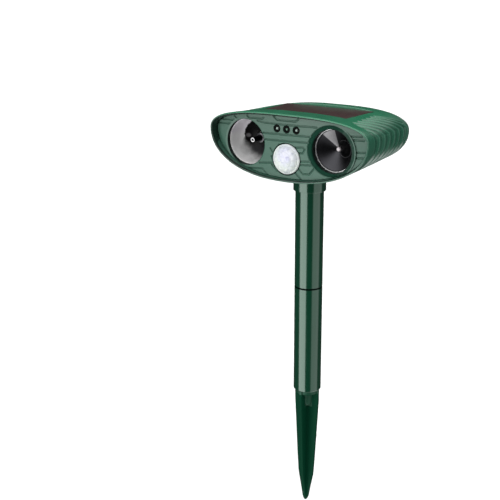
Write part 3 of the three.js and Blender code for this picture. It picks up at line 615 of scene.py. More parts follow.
def board(name):
    m, t, b, co = new_material(name)
    x, y, z = t.xyz(co)
    tracks = t.node("ShaderNodeTexBrick")
    t.put(tracks.inputs["Vector"], t.mapped(co, (420, 420, 420)))
    tracks.inputs["Color1"].default_value = (0.018, 0.120, 0.045, 1)
    tracks.inputs["Color2"].default_value = (0.022, 0.150, 0.058, 1)
    tracks.inputs["Mortar"].default_value = (0.055, 0.230, 0.100, 1)
    tracks.inputs["Mortar Size"].default_value = 0.05
    c = t.mix(t.ramp(t.voronoi(co, 260.0), 0.10, 0.13, 1.0, 0.0), tracks.outputs["Color"], (0.55, 0.50, 0.38))
    t.put(b.inputs["Base Color"], c)
    t.put(b.inputs["Roughness"], t.ramp(t.noise(co, 200.0), 0.3, 0.7, 0.30, 0.5))
    t.put(b.inputs["Normal"], t.bump(tracks.outputs["Fac"], 0.3, 3e-5))
    return m


M_BOARD = board("circuit_board")


def solar(name):
    """dark brown silicon under resin, with fine grid fingers and a slanted grain"""
    m, t, b, co = new_material(name)
    x, y, z = t.xyz(co)
    grain = t.noise(t.mapped(co, (700, 2600, 400), (0, 0, math.radians(38))), 1.0, 4.0, 0.65)
    flake = t.voronoi(co, 900.0, out="Color")
    c = t.mix(t.ramp(grain, 0.35, 0.68), (0.016, 0.012, 0.012), (0.062, 0.024, 0.022))
    c = t.mix(0.14, c, t.mix(flake, (0.015, 0.013, 0.016), (0.075, 0.045, 0.040)))
    cell = t.math("PINGPONG", t.math("ADD", x, 0.0409), 0.0051)
    gap = t.ramp(cell, 0.00018, 0.00034, 1.0, 0.0)
    c = t.mix(t.math("MULTIPLY", gap, 0.55), c, (0.012, 0.010, 0.010))
    t.put(b.inputs["Base Color"], c)
    t.put(b.inputs["Roughness"], t.ramp(grain, 0.3, 0.7, 0.34, 0.5))
    b.inputs["Coat Weight"].default_value = 0.2
    b.inputs["Coat Roughness"].default_value = 0.2
    b.inputs["Specular IOR Level"].default_value = 0.2
    t.put(b.inputs["Normal"], t.bump(grain, 0.12, 2e-5))
    return m


M_SOLAR = solar("solar_cells")


def milky(name):
    """milky lens sheet: light passes and scatters in it"""
    m, t, b, co = new_material(name)
    k = t.noise(co, 70.0, 3.0)
    x, y, z = t.xyz(co)
    dx = t.math("SUBTRACT", x, 0.0015)
    dz = t.math("SUBTRACT", z, (HZ + PIR_Z + 4.0) * 0.001)
    r = t.math("POWER", t.math("ADD", t.math("MULTIPLY", dx, dx), t.math("MULTIPLY", dz, dz)), 0.5)
    c = t.mix(t.ramp(r, 0.002, 0.0105), (0.50, 0.50, 0.70), (0.66, 0.73, 0.70))
    cell = t.voronoi(t.mapped(co, loc=(0.0013, 0, 0.0007)), 235.0, out="Color")
    cr, cg, cb = t.xyz(cell)
    c = t.mix(t.ramp(cr, 0.25, 0.75, 0.0, 0.42), c, (0.86, 0.88, 0.88))
    c = t.mix(t.ramp(cg, 0.55, 0.85, 0.0, 0.30), c, (0.44, 0.46, 0.60))
    c = t.mix(t.math("MULTIPLY", k, 0.15), c, (0.80, 0.82, 0.82))
    t.put(b.inputs["Base Color"], c)
    t.put(b.inputs["Roughness"], t.ramp(k, 0.3, 0.7, 0.34, 0.46))
    b.inputs["Subsurface Weight"].default_value = 0.35
    b.inputs["Subsurface Radius"].default_value = (0.004, 0.004, 0.0045)
    b.inputs["Subsurface Scale"].default_value = 0.6
    b.inputs["Specular IOR Level"].default_value = 0.45
    t.put(b.inputs["Normal"], t.bump(t.noise(co, 1500.0, 2.0), 0.08, 1.5e-5))
    return m


M_MILKY = milky("milky_lens")


def clear(name, tint, through, rough):
    m, t, b, co = new_material(name)
    k = t.noise(co, 400.0, 3.0)
    t.put(b.inputs["Base Color"], t.mix(k, tuple(0.95 * c for c in tint), tint))
    t.put(b.inputs["Roughness"], t.ramp(k, 0.3, 0.7, rough, rough + 0.06))
    b.inputs["Transmission Weight"].default_value = through
    b.inputs["IOR"].default_value = 1.5
    t.put(b.inputs["Normal"], t.bump(k, 0.06, 2e-5))
    return m


M_LED = clear("light_lens", (0.33, 0.43, 0.38), 0.05, 0.30)
M_LED_DARK = clear("light_lens_dark", (0.10, 0.19, 0.14), 0.1, 0.12)
M_LAMP = clear("lamp_lens", (0.05, 0.05, 0.05), 0.3, 0.2)


def turned_cone(name):
    """smoked metal turned in a lathe: fine rings, with a pale sector and a mid-grey sector painted round the axis as
    painted reflection
    """
    m, t, b, co = new_material(name)
    x, y, z = t.xyz(co)
    dx = t.math("SUBTRACT", x, HORN_X * 0.001)
    dz = t.math("SUBTRACT", z, (HZ + HORN_Z) * 0.001)
    r = t.math("POWER", t.math("ADD", t.math("MULTIPLY", dx, dx), t.math("MULTIPLY", dz, dz)), 0.5)
    cmb = t.node("ShaderNodeCombineXYZ")
    t.put(cmb.inputs[0], t.math("MULTIPLY", r, 6500.0))
    rings = t.noise(cmb.outputs[0], 1.0, 3.0, 0.7)
    ang = t.math("DEGREES", t.math("ARCTAN2", dz, dx))
    # painted reflection: a pale sector and a mid-grey sector round the axis
    lite = t.band(ang, 91.0, 93.5, 131.5, 134.5)
    mid = t.band(ang, -168, -112, -86, -22)
    c = t.mix(rings, (0.016, 0.016, 0.018), (0.030, 0.030, 0.033))
    c = t.mix(t.math("MULTIPLY", mid, 0.45), c, (0.062, 0.062, 0.068))
    c = t.mix(t.math("MULTIPLY", lite, 0.9), c, (0.235, 0.232, 0.24))
    # a faint ring and a paler patch beside it, both painted reflection
    ex, ez = t.math("SUBTRACT", dx, 0.0066), t.math("SUBTRACT", dz, 0.0015)
    er = t.math("POWER", t.math("ADD", t.math("MULTIPLY", ex, ex), t.math("MULTIPLY", ez, ez)), 0.5)
    arc = t.math("MULTIPLY", t.band(er, 0.0062, 0.0066, 0.0068, 0.0073), t.ramp(dx, 0.001, 0.005))
    beyond = t.math("MULTIPLY", t.ramp(er, 0.0066, 0.0070), t.ramp(dx, 0.008, 0.012))
    c = t.mix(t.math("MULTIPLY", beyond, 0.35), c, (0.09, 0.09, 0.095))
    c = t.mix(t.math("MULTIPLY", arc, 0.75), c, (0.30, 0.30, 0.32))
    t.put(b.inputs["Base Color"], c)
    b.inputs["Metallic"].default_value = 1.0
    t.put(b.inputs["Roughness"], t.ramp(rings, 0.3, 0.7, 0.26, 0.36))
    b.inputs["Anisotropic"].default_value = 0.75
    tg = t.node("ShaderNodeTangent", direction_type="RADIAL", axis="Y")
    t.l.new(tg.outputs[0], b.inputs["Tangent"])
    t.put(b.inputs["Normal"], t.bump(rings, 0.10, 1.2e-5))
    return m


M_CONE = turned_cone("turned_smoke")

# ------------------------------------------------------------------ main shell


def skin_rings():
    ys = np.concatenate([np.linspace(FRONT_Y + 1.6, -31, 12), np.linspace(-30.4, SPLIT_Y - 0.55, 150)])
    rings = [rim_bow(form(y, A, rib_depth(y, A))) for y in ys]
    rings += [form(SPLIT_Y - 0.15 - q, A, d) for q, d in ((0.32, 0.02), (0.14, 0.08), (0.03, 0.2), (0.0, 0.34))]
    rings += [form(SPLIT_Y - 0.15, A, WALL)]
    for y, d in ((30, WALL + 0.4), (5, WALL + 0.6), (-20, WALL + 0.6), (-29, WALL), (-33, WALL)):
        rings.append(rim_bow(form(y, A, d)))
    # wall sloping out to a thin rolled edge
    for d, q in ((WALL, 6.2), (2.18, 4.6), (2.08, 3.4), (1.92, 2.2), (1.74, 1.2), (1.56, 0.62), (1.36, 0.26), (1.14, 0.07), (0.9, 0.0), (0.66, 0.03), (0.42, 0.15), (0.22, 0.37), (0.07, 0.7), (0.0, 1.15)):
        rings.append(rim_bow(form(FRONT_Y + q, A, d)))
    return rings


v, f = loft(skin_rings(), closed=True)
shell = raw("main_shell_skin", v, f)


def over_top(name, outline, levels):
    """prism on an outline in plan; each level is (grow, height above the skin or None, absolute z)"""
    rings = []
    for grow, rel, z in levels:
        cx, cy = outline.mean(0)
        o = outline.copy()
        o[:, 0] += np.sign(outline[:, 0] - cx) * grow
        o[:, 1] += np.sign(outline[:, 1] - cy) * grow
        h = top_z(o[:, 0], o[:, 1]) + rel if rel is not None else np.full(len(o), z, float)
        rings.append(np.column_stack([o, h]))
    return raw(name, *loft(rings))


def rounded_rect(x0, x1, y0, y1, r, n=6, side=40):
    pts = []
    for (cx, cy, a0), (sx, sy) in (((x1 - r, y1 - r, 0), (0, 0)), ((x0 + r, y1 - r, 90), (0, 0)), ((x0 + r, y0 + r, 180), (0, 0)), ((x1 - r, y0 + r, 270), (0, 0))):
        for k in range(n + 1):
            q = math.radians(a0 + 90 * k / n)
            pts.append((cx + r * math.cos(q), cy + r * math.sin(q)))
    out = []
    for i, p in enumerate(pts):
        q = pts[(i + 1) % len(pts)]
        out.append(p)
        d = math.hypot(q[0] - p[0], q[1] - p[1])
        if d > 3:
            for k in range(1, side):
                out.append((p[0] + (q[0] - p[0]) * k / side, p[1] + (q[1] - p[1]) * k / side))
    return np.array(out, float)


gx, gy = np.linspace(-43.4, 43.4, 30), np.linspace(SOLAR_Y0 - 2.4, SOLAR_Y1 + 2.4, 20)


def height_block(name, gx, gy, lo, hi):
    X, Y = np.meshgrid(gx, gy, indexing="ij")
    n, m = X.shape
    T = np.column_stack([X.ravel(), Y.ravel(), hi(X, Y).ravel()])
    B = np.column_stack([X.ravel(), Y.ravel(), lo(X, Y).ravel()])
    f = []
    for i in range(n - 1):
        for j in range(m - 1):
            a, b, c, d = i * m + j, (i + 1) * m + j, (i + 1) * m + j + 1, i * m + j + 1
            f.append((a, b, c, d))
            f.append((n * m + a, n * m + d, n * m + c, n * m + b))
    edge = [i * m for i in range(n)] + [(n - 1) * m + j for j in range(1, m)] + [i * m + m - 1 for i in range(n - 2, -1, -1)] + [j for j in range(m - 2, 0, -1)]
    for k, a in enumerate(edge):
        b = edge[(k + 1) % len(edge)]
        f.append((a, n * m + a, n * m + b, b))
    return raw(name, np.vstack([T, B]), f)


tray = height_block("tray", gx, gy, lambda x, y: 26.0 + 0 * x, lambda x, y: top_z(x, y) - 1.1)
collar = lathe("pole_collar", [(SOCKET_BORE, SOCKET_TOP), (SOCKET_BORE, COLLAR_BOTTOM + 0.7), (SOCKET_BORE + 0.1, COLLAR_BOTTOM + 0.3), (SOCKET_BORE + 0.3, COLLAR_BOTTOM + 0.06), (SOCKET_BORE + 0.5, COLLAR_BOTTOM)]
               + soft([(SOCKET_BORE + 0.6, COLLAR_BOTTOM), (COLLAR_R, COLLAR_BOTTOM), (COLLAR_R, -20.6), (COLLAR_R + 1.2, -18.2), (COLLAR_R + 1.2, -14), (COLLAR_R, SOCKET_TOP + 2.2), (0, SOCKET_TOP + 2.2)], [0, 0.85, 1.6, 0, 0, 0, 0], 8)
               + [(0, SOCKET_TOP)], "z", 0, 0, 128)
piece(collar, "head", [], M_POLE, sharp=40)
shell = combine(shell, [tray], "UNION")
plan = rounded_rect(-SOLAR_X - 0.35, SOLAR_X + 0.35, SOLAR_Y0 - 0.35, SOLAR_Y1 + 0.35, 0.9)
pocket = over_top("pocket", plan, [(0, None, SOLAR_TOP - SOLAR_T - 0.3), (0, None, 29.6), (0, -0.62, 0), (0.05, -0.36, 0), (0.17, -0.16, 0), (0.36, -0.03, 0), (0.62, 0.03, 0), (1.6, 0.3, 0), (1.6, None, 45)])
wire_hole = slab("wire_hole", -6, 6, 12, 20, 20, 34)
bore = lathe("bore", [(0, COLLAR_BOTTOM - 5), (COLLAR_R - 0.4, COLLAR_BOTTOM - 5), (COLLAR_R - 0.4, SOCKET_TOP), (0, SOCKET_TOP)], "z", 0, 0, 128)
shell = combine(shell, [pocket, wire_hole, bore])
for k, (x, z) in enumerate(SCREWS):
    post = rod("post", 3.3, 30, SPLIT_Y - 0.45, x, z, 24)
    shell = combine(shell, [post], "UNION")
    shell = combine(shell, [rod("pilot", 1.75, 40, SPLIT_Y + 5, x, z, 16)])
piece(shell, "head", ["main_shell"], M_SHELL, sharp=38)

# ------------------------------------------------------------------ rear cover

rings = [form(SPLIT_Y + 0.15 + q, A, d) for q, d in ((0.0, 0.34), (0.03, 0.2), (0.14, 0.08), (0.32, 0.02), (0.6, 0.0))]
rings += [form(y, A, 0.0) for y in np.linspace(SPLIT_Y + 1.0, BACK_Y - REAR_ROUND, 4)]
for q in np.radians(np.linspace(5, 90, 22)):
    rings.append(form(BACK_Y - REAR_ROUND + REAR_ROUND * math.sin(q), A, REAR_ROUND * (1 - math.cos(q))))
last = rings[-1]
mid = last.mean(0)
for s in np.linspace(0.93, 0.05, 24):
    rings.append(mid + (last - mid) * s)
cover = raw("rear_cover_skin", *loft(rings))
hollow = raw("hollow", *loft([form(SPLIT_Y + 0.15, A, WALL) - np.array([0, 1.2, 0]), form(BACK_Y - REAR_ROUND, A, WALL), form(BACK_Y - 4.6, A, 4.6), form(BACK_Y - 2.4, A, 8.9)]))
cover = combine(cover, [hollow])
adds = [rod("boss", 4.4, SPLIT_Y + 0.15, BACK_Y - 1.2, x, z, 32) for x, z in SCREWS]
adds.append(rod("well_wall", DIAL_WELL + 1.8, BACK_Y - 6.2, BACK_Y - 1.2, DIAL_X, DIAL_Z, 64))
cover = combine(cover, adds, "UNION")
cuts = []
for x, z in SCREWS:
    cuts.append(rod("c1", 1.75, SPLIT_Y - 3, BACK_Y + 2, x, z, 32))
    cuts.append(lathe("c2", [(0, BACK_Y - 3), (3.1, BACK_Y - 3), (3.1, BACK_Y - 0.45), (3.2, BACK_Y - 0.2), (3.45, BACK_Y + 0.02), (4.6, BACK_Y + 0.6), (4.6, BACK_Y + 2), (0, BACK_Y + 2)], "y", x, z, 48))
cuts.append(lathe("c3", [(0, BACK_Y - 4), (DIAL_WELL - 0.5, BACK_Y - 4), (DIAL_WELL - 0.12, BACK_Y - 3.85), (DIAL_WELL, BACK_Y - 3.4), (DIAL_WELL, BACK_Y - 0.6), (DIAL_WELL + 0.1, BACK_Y - 0.25), (DIAL_WELL + 0.4, BACK_Y + 0.02), (DIAL_WELL + 2, BACK_Y + 0.8), (DIAL_WELL + 2, BACK_Y + 2), (0, BACK_Y + 2)], "y", DIAL_X, DIAL_Z, 96))
cuts.append(rod("c4", 3.4, BACK_Y - 9, BACK_Y + 2, DIAL_X, DIAL_Z, 40))
cuts.append(lathe("c5", [(0, BACK_Y - 9), (BUTTON_R + 0.3, BACK_Y - 9), (BUTTON_R + 0.3, BACK_Y - 0.5), (BUTTON_R + 0.4, BACK_Y - 0.2), (BUTTON_R + 0.65, BACK_Y + 0.02), (BUTTON_R + 2, BACK_Y + 0.7), (BUTTON_R + 2, BACK_Y + 2), (0, BACK_Y + 2)], "y", BUTTON_X, BUTTON_Z, 64))
cuts.append(slab("c6", PORT_X - 5.2, PORT_X + 5.2, BACK_Y - 9, BACK_Y + 2, PORT_Z - 2.3, PORT_Z + 2.3, 0.5))
# setting marks round the dial: short plain grooves
for k in range(6):
    q = math.radians(90 + 45 * k + 22.5)
    cx, cz = DIAL_X + 13.2 * math.cos(q), DIAL_Z + 13.2 * math.sin(q)
    if cz > 19.5 or cz < -5.5:
        continue
    bar = slab("mark", -0.35, 0.35, -0.3, 1.0, -1.0, 1.0, 0.12)
    bar.data.transform(Matrix.Translation((cx * 0.001, BACK_Y * 0.001, cz * 0.001)) @ Matrix.Rotation(-(q - math.pi / 2), 4, "Y"))
    cuts.append(bar)
cover = combine(cover, cuts)
for s in (-1, 1):
    x0 = PORT_X + s * 8.3
    lug = slab("lug", x0 - 1, x0 + 1, BACK_Y - 0.5, HINGE_Y, HINGE_Z - 1.5, HINGE_Z + 1.5)
    eye = lathe("eye", soft([(0, x0 - 1), (1.5, x0 - 1), (1.5, x0 + 1), (0, x0 + 1)], 0.2, 3), "y", 0, 0, 40)
    eye.data.transform(Matrix.Translation((0, HINGE_Y * 0.001, HINGE_Z * 0.001)) @ Matrix.Rotation(-math.pi / 2, 4, "Z"))
    pin = rod("pin", 0.9, PORT_X - 12, PORT_X + 12, 0, 0, 32)
    pin.data.transform(Matrix.Translation((0, HINGE_Y * 0.001, HINGE_Z * 0.001)) @ Matrix.Rotation(-math.pi / 2, 4, "Z"))
    lug = combine(lug, [eye], "UNION")
    lug = combine(lug, [pin])
    cover = combine(cover, [lug], "UNION")
piece(cover, "head", ["rear_cover"], M_SHELL, sharp=38)

# ------------------------------------------------------------------ face panel

LINES = [
    [(-27.6, 26.7), (-21.7, 25.9), (-12.1, 25.9), (2.7, 26.0), (21.0, 26.4), (26.5, 26.5)],
    [(-11.8, 31.7), (-8.7, 29.2), (8.1, 29.4), (10.7, 31.4)],
    [(-21.7, 17.7), (-6.5, 18.0), (23.0, 18.7)], [(-19.8, 12.6), (21.8, 13.9)],
    [(-38.0, 29.9), (-36.3, 28.4), (-23.0, 28.7), (-21.7, 29.6)],
    [(-69.9, 24.2), (-51.6, 24.6)], [(-50.8, 28.2), (-48.7, 26.6)], [(-70.0, 20.6), (-55.9, 21.3)],
    [(-14.9, 5.9), (-12.1, 2.2)], [(-14.0, -0.2), (-12.7, -3.3)], [(-8.9, 6.8), (-7.0, 9.7), (-3.9, 10.3)],
    [(8.3, 9.0), (14.8, 9.7), (16.6, 8.3), (14.9, 5.2), (11.3, 4.8)],
    [(12.6, -1.6), (21.4, -0.7)], [(12.6, -4.3), (21.4, -3.8)],
    [(-25.7, -7.0), (-13.3, -5.5)], [(-13.3, -7.1), (-8.8, -11.4)],
    [(-35.8, -12.8), (-23.1, -11.3), (-17.2, -16.3)],
    [(11.5, -7.9), (15.1, -11.3), (20.8, -11.0), (26.4, -4.5)], [(8.5, -11.4), (14.5, -16.9)],
    [(53.7, 21.7), (63.9, 22.3)], [(56.1, 19.2), (65.6, 19.6)], [(59.2, 9.9), (67.0, 10.4)], [(58.1, 5.7), (65.5, 6.0)],
]


def groove(X, Z):
    """depth of the moulded lines: a round-bottomed groove with soft shoulders"""
    best = np.full(X.shape, 9.0)
    for line in LINES:
        for (x0, z0), (x1, z1) in zip(line[:-1], line[1:]):
            m = (X > min(x0, x1) - 2) & (X < max(x0, x1) + 2) & (Z > min(z0, z1) - 2) & (Z < max(z0, z1) + 2)
            if not m.any():
                continue
            px, pz = X[m] - x0, Z[m] - z0
            dx, dz = x1 - x0, z1 - z0
            q = np.clip((px * dx + pz * dz) / (dx * dx + dz * dz), 0, 1)
            best[m] = np.minimum(best[m], np.hypot(px - q * dx, pz - q * dz))
    return best


STEP = 0.28
gx = np.arange(-72, 72.01, STEP)
gz = np.arange(-22, 36.01, STEP)
Xg, Zg = np.meshgrid(gx, gz, indexing="ij")
best = groove(Xg, Zg)
cut = 0.95 * np.clip(1 - (best / 0.78) ** 2, 0, 1) ** 0.8
r_sp = np.hypot(Xg - SURROUND_X, Zg - HORN_Z)
r_st = np.hypot(Xg + HORN_X, Zg - STROBE_Z)
r_in = np.hypot(Xg - HORN_X, Zg - HORN_Z)
cut = np.maximum(cut, 0.55 * sstep(r_sp, SURROUND_R + 0.25, SURROUND_R - 0.25))
cut = np.maximum(cut, 0.95 * np.clip(1 - np.abs(r_sp - SURROUND_R) / 0.5, 0, 1))
cut = cut + 0.30 * sstep(r_st, 19.2, 18.6) + 0.35 * sstep(r_in, 17.9, 17.2)
front = PANEL_Y + PANEL_BOW * Xg ** 2 + cut
n, m = Xg.shape
Vf = np.column_stack([Xg.ravel(), front.ravel(), Zg.ravel()])
Vb = np.column_stack([Xg.ravel(), (PANEL_Y + PANEL_T + PANEL_BOW * Xg ** 2).ravel(), Zg.ravel()])
idx = np.arange(n * m).reshape(n, m)
q = np.stack([idx[:-1, :-1], idx[1:, :-1], idx[1:, 1:], idx[:-1, 1:]], -1).reshape(-1, 4)
faces = q.tolist() + (q[:, ::-1] + n * m).tolist()
edge = list(idx[:, 0]) + list(idx[-1, 1:]) + list(idx[-2::-1, -1]) + list(idx[0, -2:0:-1])
for k, a in enumerate(edge):
    b = edge[(k + 1) % len(edge)]
    faces.append((int(a), int(n * m + a), int(n * m + b), int(b)))
panel = raw("face_panel_skin", np.vstack([Vf, Vb]), faces)


def trimmed(grow=0.0):
    return raw("trim", *loft([form(max(y, FRONT_Y), A, WALL + 0.35 + grow) * np.array([1, 0, 1]) + np.array([0, y, 0]) for y in (-60, -44, -36, -31, -26)]))


face_at = lambda x: PANEL_Y + PANEL_BOW * x * x
sleeves = [rod("s1", HORN_R + 1.0, face_at(HORN_X) + 1, -29.6, -HORN_X, STROBE_Z, 128), rod("s2", HORN_R + 1.0, face_at(HORN_X) + 1, -29.6, HORN_X, HORN_Z, 128), rod("s3", PIR_R + 1.6, face_at(0) + 1, -31.5, 0, PIR_Z, 96)]
panel = combine(panel, sleeves, "UNION")
panel = combine(panel, [trimmed()], "INTERSECT")
fy = face_at(HORN_X)
panel = combine(panel, [
    lathe("h1", [(0, -50), (STROBE_LIP + 6, -50), (STROBE_LIP + 6, -45), (STROBE_LIP, -44.9), (STROBE_LIP, -31.1), (HORN_R, -31.1), (HORN_R, -20), (0, -20)], "y", -HORN_X, STROBE_Z, 160),
    lathe("h2", [(0, -50), (SPEAKER_LIP + 6, -50), (SPEAKER_LIP + 6, -45), (SPEAKER_LIP, -44.9), (SPEAKER_LIP, -31.0), (18.35, -31.0), (18.35, -20), (0, -20)], "y", HORN_X, HORN_Z, 160),
    lathe("h3", [(0, -50), (PIR_R + 3, -50), (PIR_R + 0.9, PANEL_Y - 0.4), (PIR_R + 0.42, PANEL_Y + 0.12), (PIR_R + 0.3, PANEL_Y + 0.5), (PIR_R + 0.3, -20), (0, -20)], "y", 0, PIR_Z, 128),
] + [lathe("h4", [(0, -50), (4.6, -50), (3.5, PANEL_Y - 0.15), (3.22, PANEL_Y + 0.12), (3.15, PANEL_Y + 0.35), (3.15, -20), (0, -20)], "y", k * LED_PITCH, LED_Z, 64) for k in (-1, 0, 1)])
piece(panel, "head", ["face_panel"], M_FACE, sharp=40)

# ------------------------------------------------------------------ solar panel

plate = slab("solar_plate", -SOLAR_X, SOLAR_X, SOLAR_Y0, SOLAR_Y1, SOLAR_TOP - SOLAR_T + 0.9, SOLAR_TOP, 0.25)
piece(plate, "head", ["solar_panel"], M_SOLAR, sharp=50)

# ------------------------------------------------------------------ strobe


def holder_tint(t, co, c):
    """bright only on the front lip of the lamp tube"""
    x, y, z = t.xyz(co)
    c = t.mix(t.ramp(y, -0.02545, -0.0250), c, (0.02, 0.02, 0.022))
    r = away(t, co, -HORN_X, STROBE_Z)
    return t.mix(t.math("MULTIPLY", t.ramp(r, 0.0028, 0.0031), t.ramp(x, -0.0398, -0.0385)), c, (0.085, 0.085, 0.09))


M_HOLDER = metal("lamp_tube", (0.62, 0.62, 0.63), 0.3, scratch=0.1, tint=holder_tint)

bowl = [(18.25, -30.8), (17.75, -28.5), (17.15, -26.3), (16.35, -24.2), (15.35, -22.2), (14.1, -20.4), (12.6, -18.7), (10.9, -17.15), (9.0, -15.8), (6.9, -14.7), (4.6, -13.9),
        (4.6, -12.7), (10.3, -15.0), (13.9, -18.1), (16.2, -21.8), (18.6, -29.4), (18.6, -30.8)]


def curve(points, n=6):
    """a smooth line through the points"""
    p = np.array(points, float)
    s = np.r_[0, np.cumsum(np.linalg.norm(np.diff(p, axis=0), axis=1))]
    out = []
    for k in range(len(p) - 1):
        p0, p1, p2, p3 = p[max(k - 1, 0)], p[k], p[k + 1], p[min(k + 2, len(p) - 1)]
        for j in range(n):
            t = j / n
            out.append(0.5 * ((2 * p1) + (-p0 + p2) * t + (2 * p0 - 5 * p1 + 4 * p2 - p3) * t * t + (-p0 + 3 * p1 - 3 * p2 + p3) * t ** 3))
    out.append(p[-1])
    return [tuple(q) for q in out]


prof = [(18.55, -30.8), (18.36, -30.76)] + curve(bowl[:11], 4)[1:] + bowl[11:16] + [(18.6, -30.65)]
piece(lathe("strobe_bowl", prof, "y", -HORN_X, STROBE_Z, 160, closed=True), "head", ["strobe_reflector"], M_CHROME)
piece(lathe("strobe_lamp_holder", soft([(1.15, -25.7), (1.8, -25.7), (2.3, -15), (4.2, -15), (4.2, -12.3), (1.15, -12.3)], [0.15, 0.22, 0.2, 0.3, 0.2, 0.2], 3, True), "y", -HORN_X, STROBE_Z, 64, closed=True), "head", ["strobe_holder"], M_HOLDER)
piece(lathe("strobe_lamp_lens", [(0, -26.1), (0.2, -26.08), (0.4, -26.02), (0.58, -25.9), (0.72, -25.73), (0.81, -25.5), (0.85, -25.2), (0.85, -12.3), (0, -12.3)], "y", -HORN_X, STROBE_Z, 48), "head", ["strobe_lamp"], M_LAMP)

# ------------------------------------------------------------------ speaker

piece(lathe("speaker_basket_cup", soft([(0, -16), (12.5, -16), (18.0, -22), (18.0, -29.3), (16.9, -29.3), (16.9, -22.6), (12, -17.6), (0, -17.6)], 0.3, 4), "y", HORN_X, HORN_Z, 128), "head", ["speaker_basket"], M_BLACK)
piece(lathe("speaker_trim_ring", soft([(16.3, -29.95), (16.45, -30.6), (17.05, -30.6), (17.3, -30.1), (17.3, -29.6), (16.2, -29.6)], 0.22, 5, True), "y", HORN_X, HORN_Z, 160, closed=True), "head", ["speaker_ring"], M_SILVER)
cone = curve([(15.9, -29.7), (12.6, -28.15), (9.0, -26.4), (5.6, -24.75), (2.3, -23.2)], 12)
back = [(2.3, -22.5), (5.6, -24.05), (9.0, -25.7), (12.6, -27.4), (15.9, -29.0)]
piece(lathe("speaker_turned_cone", cone + back, "y", HORN_X, HORN_Z, 192, closed=True), "head", ["speaker_cone"], M_CONE)
piece(lathe("speaker_centre_pin", [(0, -24.8), (0.5, -24.77), (0.95, -24.65), (1.35, -24.45), (1.65, -24.15), (1.82, -23.7), (1.85, -23.0), (1.85, -18), (0, -18)], "y", HORN_X, HORN_Z, 48), "head", ["speaker_pin"], M_PIN)

# ------------------------------------------------------------------ motion sensor lens

cap_r = (PIR_R ** 2 + PIR_RISE ** 2) / (2 * PIR_RISE)
a_max = math.asin(PIR_R / cap_r)
SEG_L, ROWS_L = 240, 72
v, f = [], []
v.append((0, PANEL_Y - PIR_RISE, PIR_Z))
th = np.linspace(0, 2 * math.pi, SEG_L, endpoint=False)


def facet(r, t):
    """each small lens of the sheet bulges a little, with a line between it and the next"""
    ring_edges = np.array([0, 2.6, 6.9, 11.0])
    count = [1, 6, 11]
    k = int(np.searchsorted(ring_edges, r, side="right") - 1)
    if k >= 3:
        return 0.0 * t
    r0, r1 = ring_edges[k], ring_edges[k + 1]
    dr = min(r - r0 if k else 9, r1 - r)
    if count[k] == 1:
        ds = np.full(t.shape, 9.0)
    else:
        w = 2 * math.pi / count[k]
        ph = np.mod(t + 0.5 * w * (k % 2), w)
        ds = np.minimum(ph, w - ph) * r
    d = np.minimum(ds, dr)
    return 0.42 * np.clip(d / 1.7, 0, 1) ** 0.7 - 0.34


for k in range(1, ROWS_L + 1):
    a = a_max * k / ROWS_L
    r = cap_r * math.sin(a)
    h = facet(r, th) * (1.0 if r < 11.0 else 0.0)
    rr = (cap_r + h) * math.sin(a)
    yy = PANEL_Y - PIR_RISE + cap_r - (cap_r + h) * math.cos(a)
    for j in range(SEG_L):
        v.append((rr[j] * math.cos(th[j]), yy[j], PIR_Z + rr[j] * math.sin(th[j])))
rows = [[0] * SEG_L] + [list(range(1 + k * SEG_L, 1 + (k + 1) * SEG_L)) for k in range(ROWS_L)]
for r, y in ((PIR_R, PANEL_Y + 1.2), (PIR_R, -33.5), (PIR_R - 1, -33.5), (PIR_R - 1, PANEL_Y - 0.4), (PIR_R - 3, PANEL_Y - 2.2), (PIR_R - 7, PANEL_Y - 3.9), (0.0, PANEL_Y - PIR_RISE + 0.9)):
    if r == 0.0:
        rows.append([len(v)] * SEG_L)
        v.append((0, y, PIR_Z))
    else:
        rows.append(list(range(len(v), len(v) + SEG_L)))
        for j in range(SEG_L):
            v.append((r * math.cos(th[j]), y, PIR_Z + r * math.sin(th[j])))
for p, q in zip(rows[:-1], rows[1:]):
    for i in range(SEG_L):
        j = (i + 1) % SEG_L
        face = []
        for w in (p[i], p[j], q[j], q[i]):
            if w not in face:
                face.append(w)
        if len(face) > 2:
            f.append(tuple(face))
piece(raw("sensor_lens_sheet", v, f), "head", ["sensor_lens"], M_MILKY, sharp=55)

# ------------------------------------------------------------------ signal lights

for k, side in ((-1, "left"), (0, "centre"), (1, "right")):
    x = k * LED_PITCH
    holder = lathe(f"signal_holder_{side}", soft([(1.32, -35.6), (1.45, -36.9), (2.0, -37.5), (2.85, -37.2), (2.85, -33.2), (1.32, -33.2)], 0.16, 3, True), "y", x, LED_Z, 64, closed=True)
    piece(holder, "head", [f"light_holder_{side}"], M_BLACK)
    lens = lathe(f"signal_light_{side}", [(0, -37.15), (0.3, -37.12), (0.6, -37.02), (0.85, -36.86), (1.03, -36.6), (1.13, -36.3), (1.17, -35.9), (1.17, -31), (0, -31)], "y", x, LED_Z, 48)
    piece(lens, "head", [f"light_{side}"], M_LED_DARK if k == 0 else M_LED)

# ------------------------------------------------------------------ poles and spike

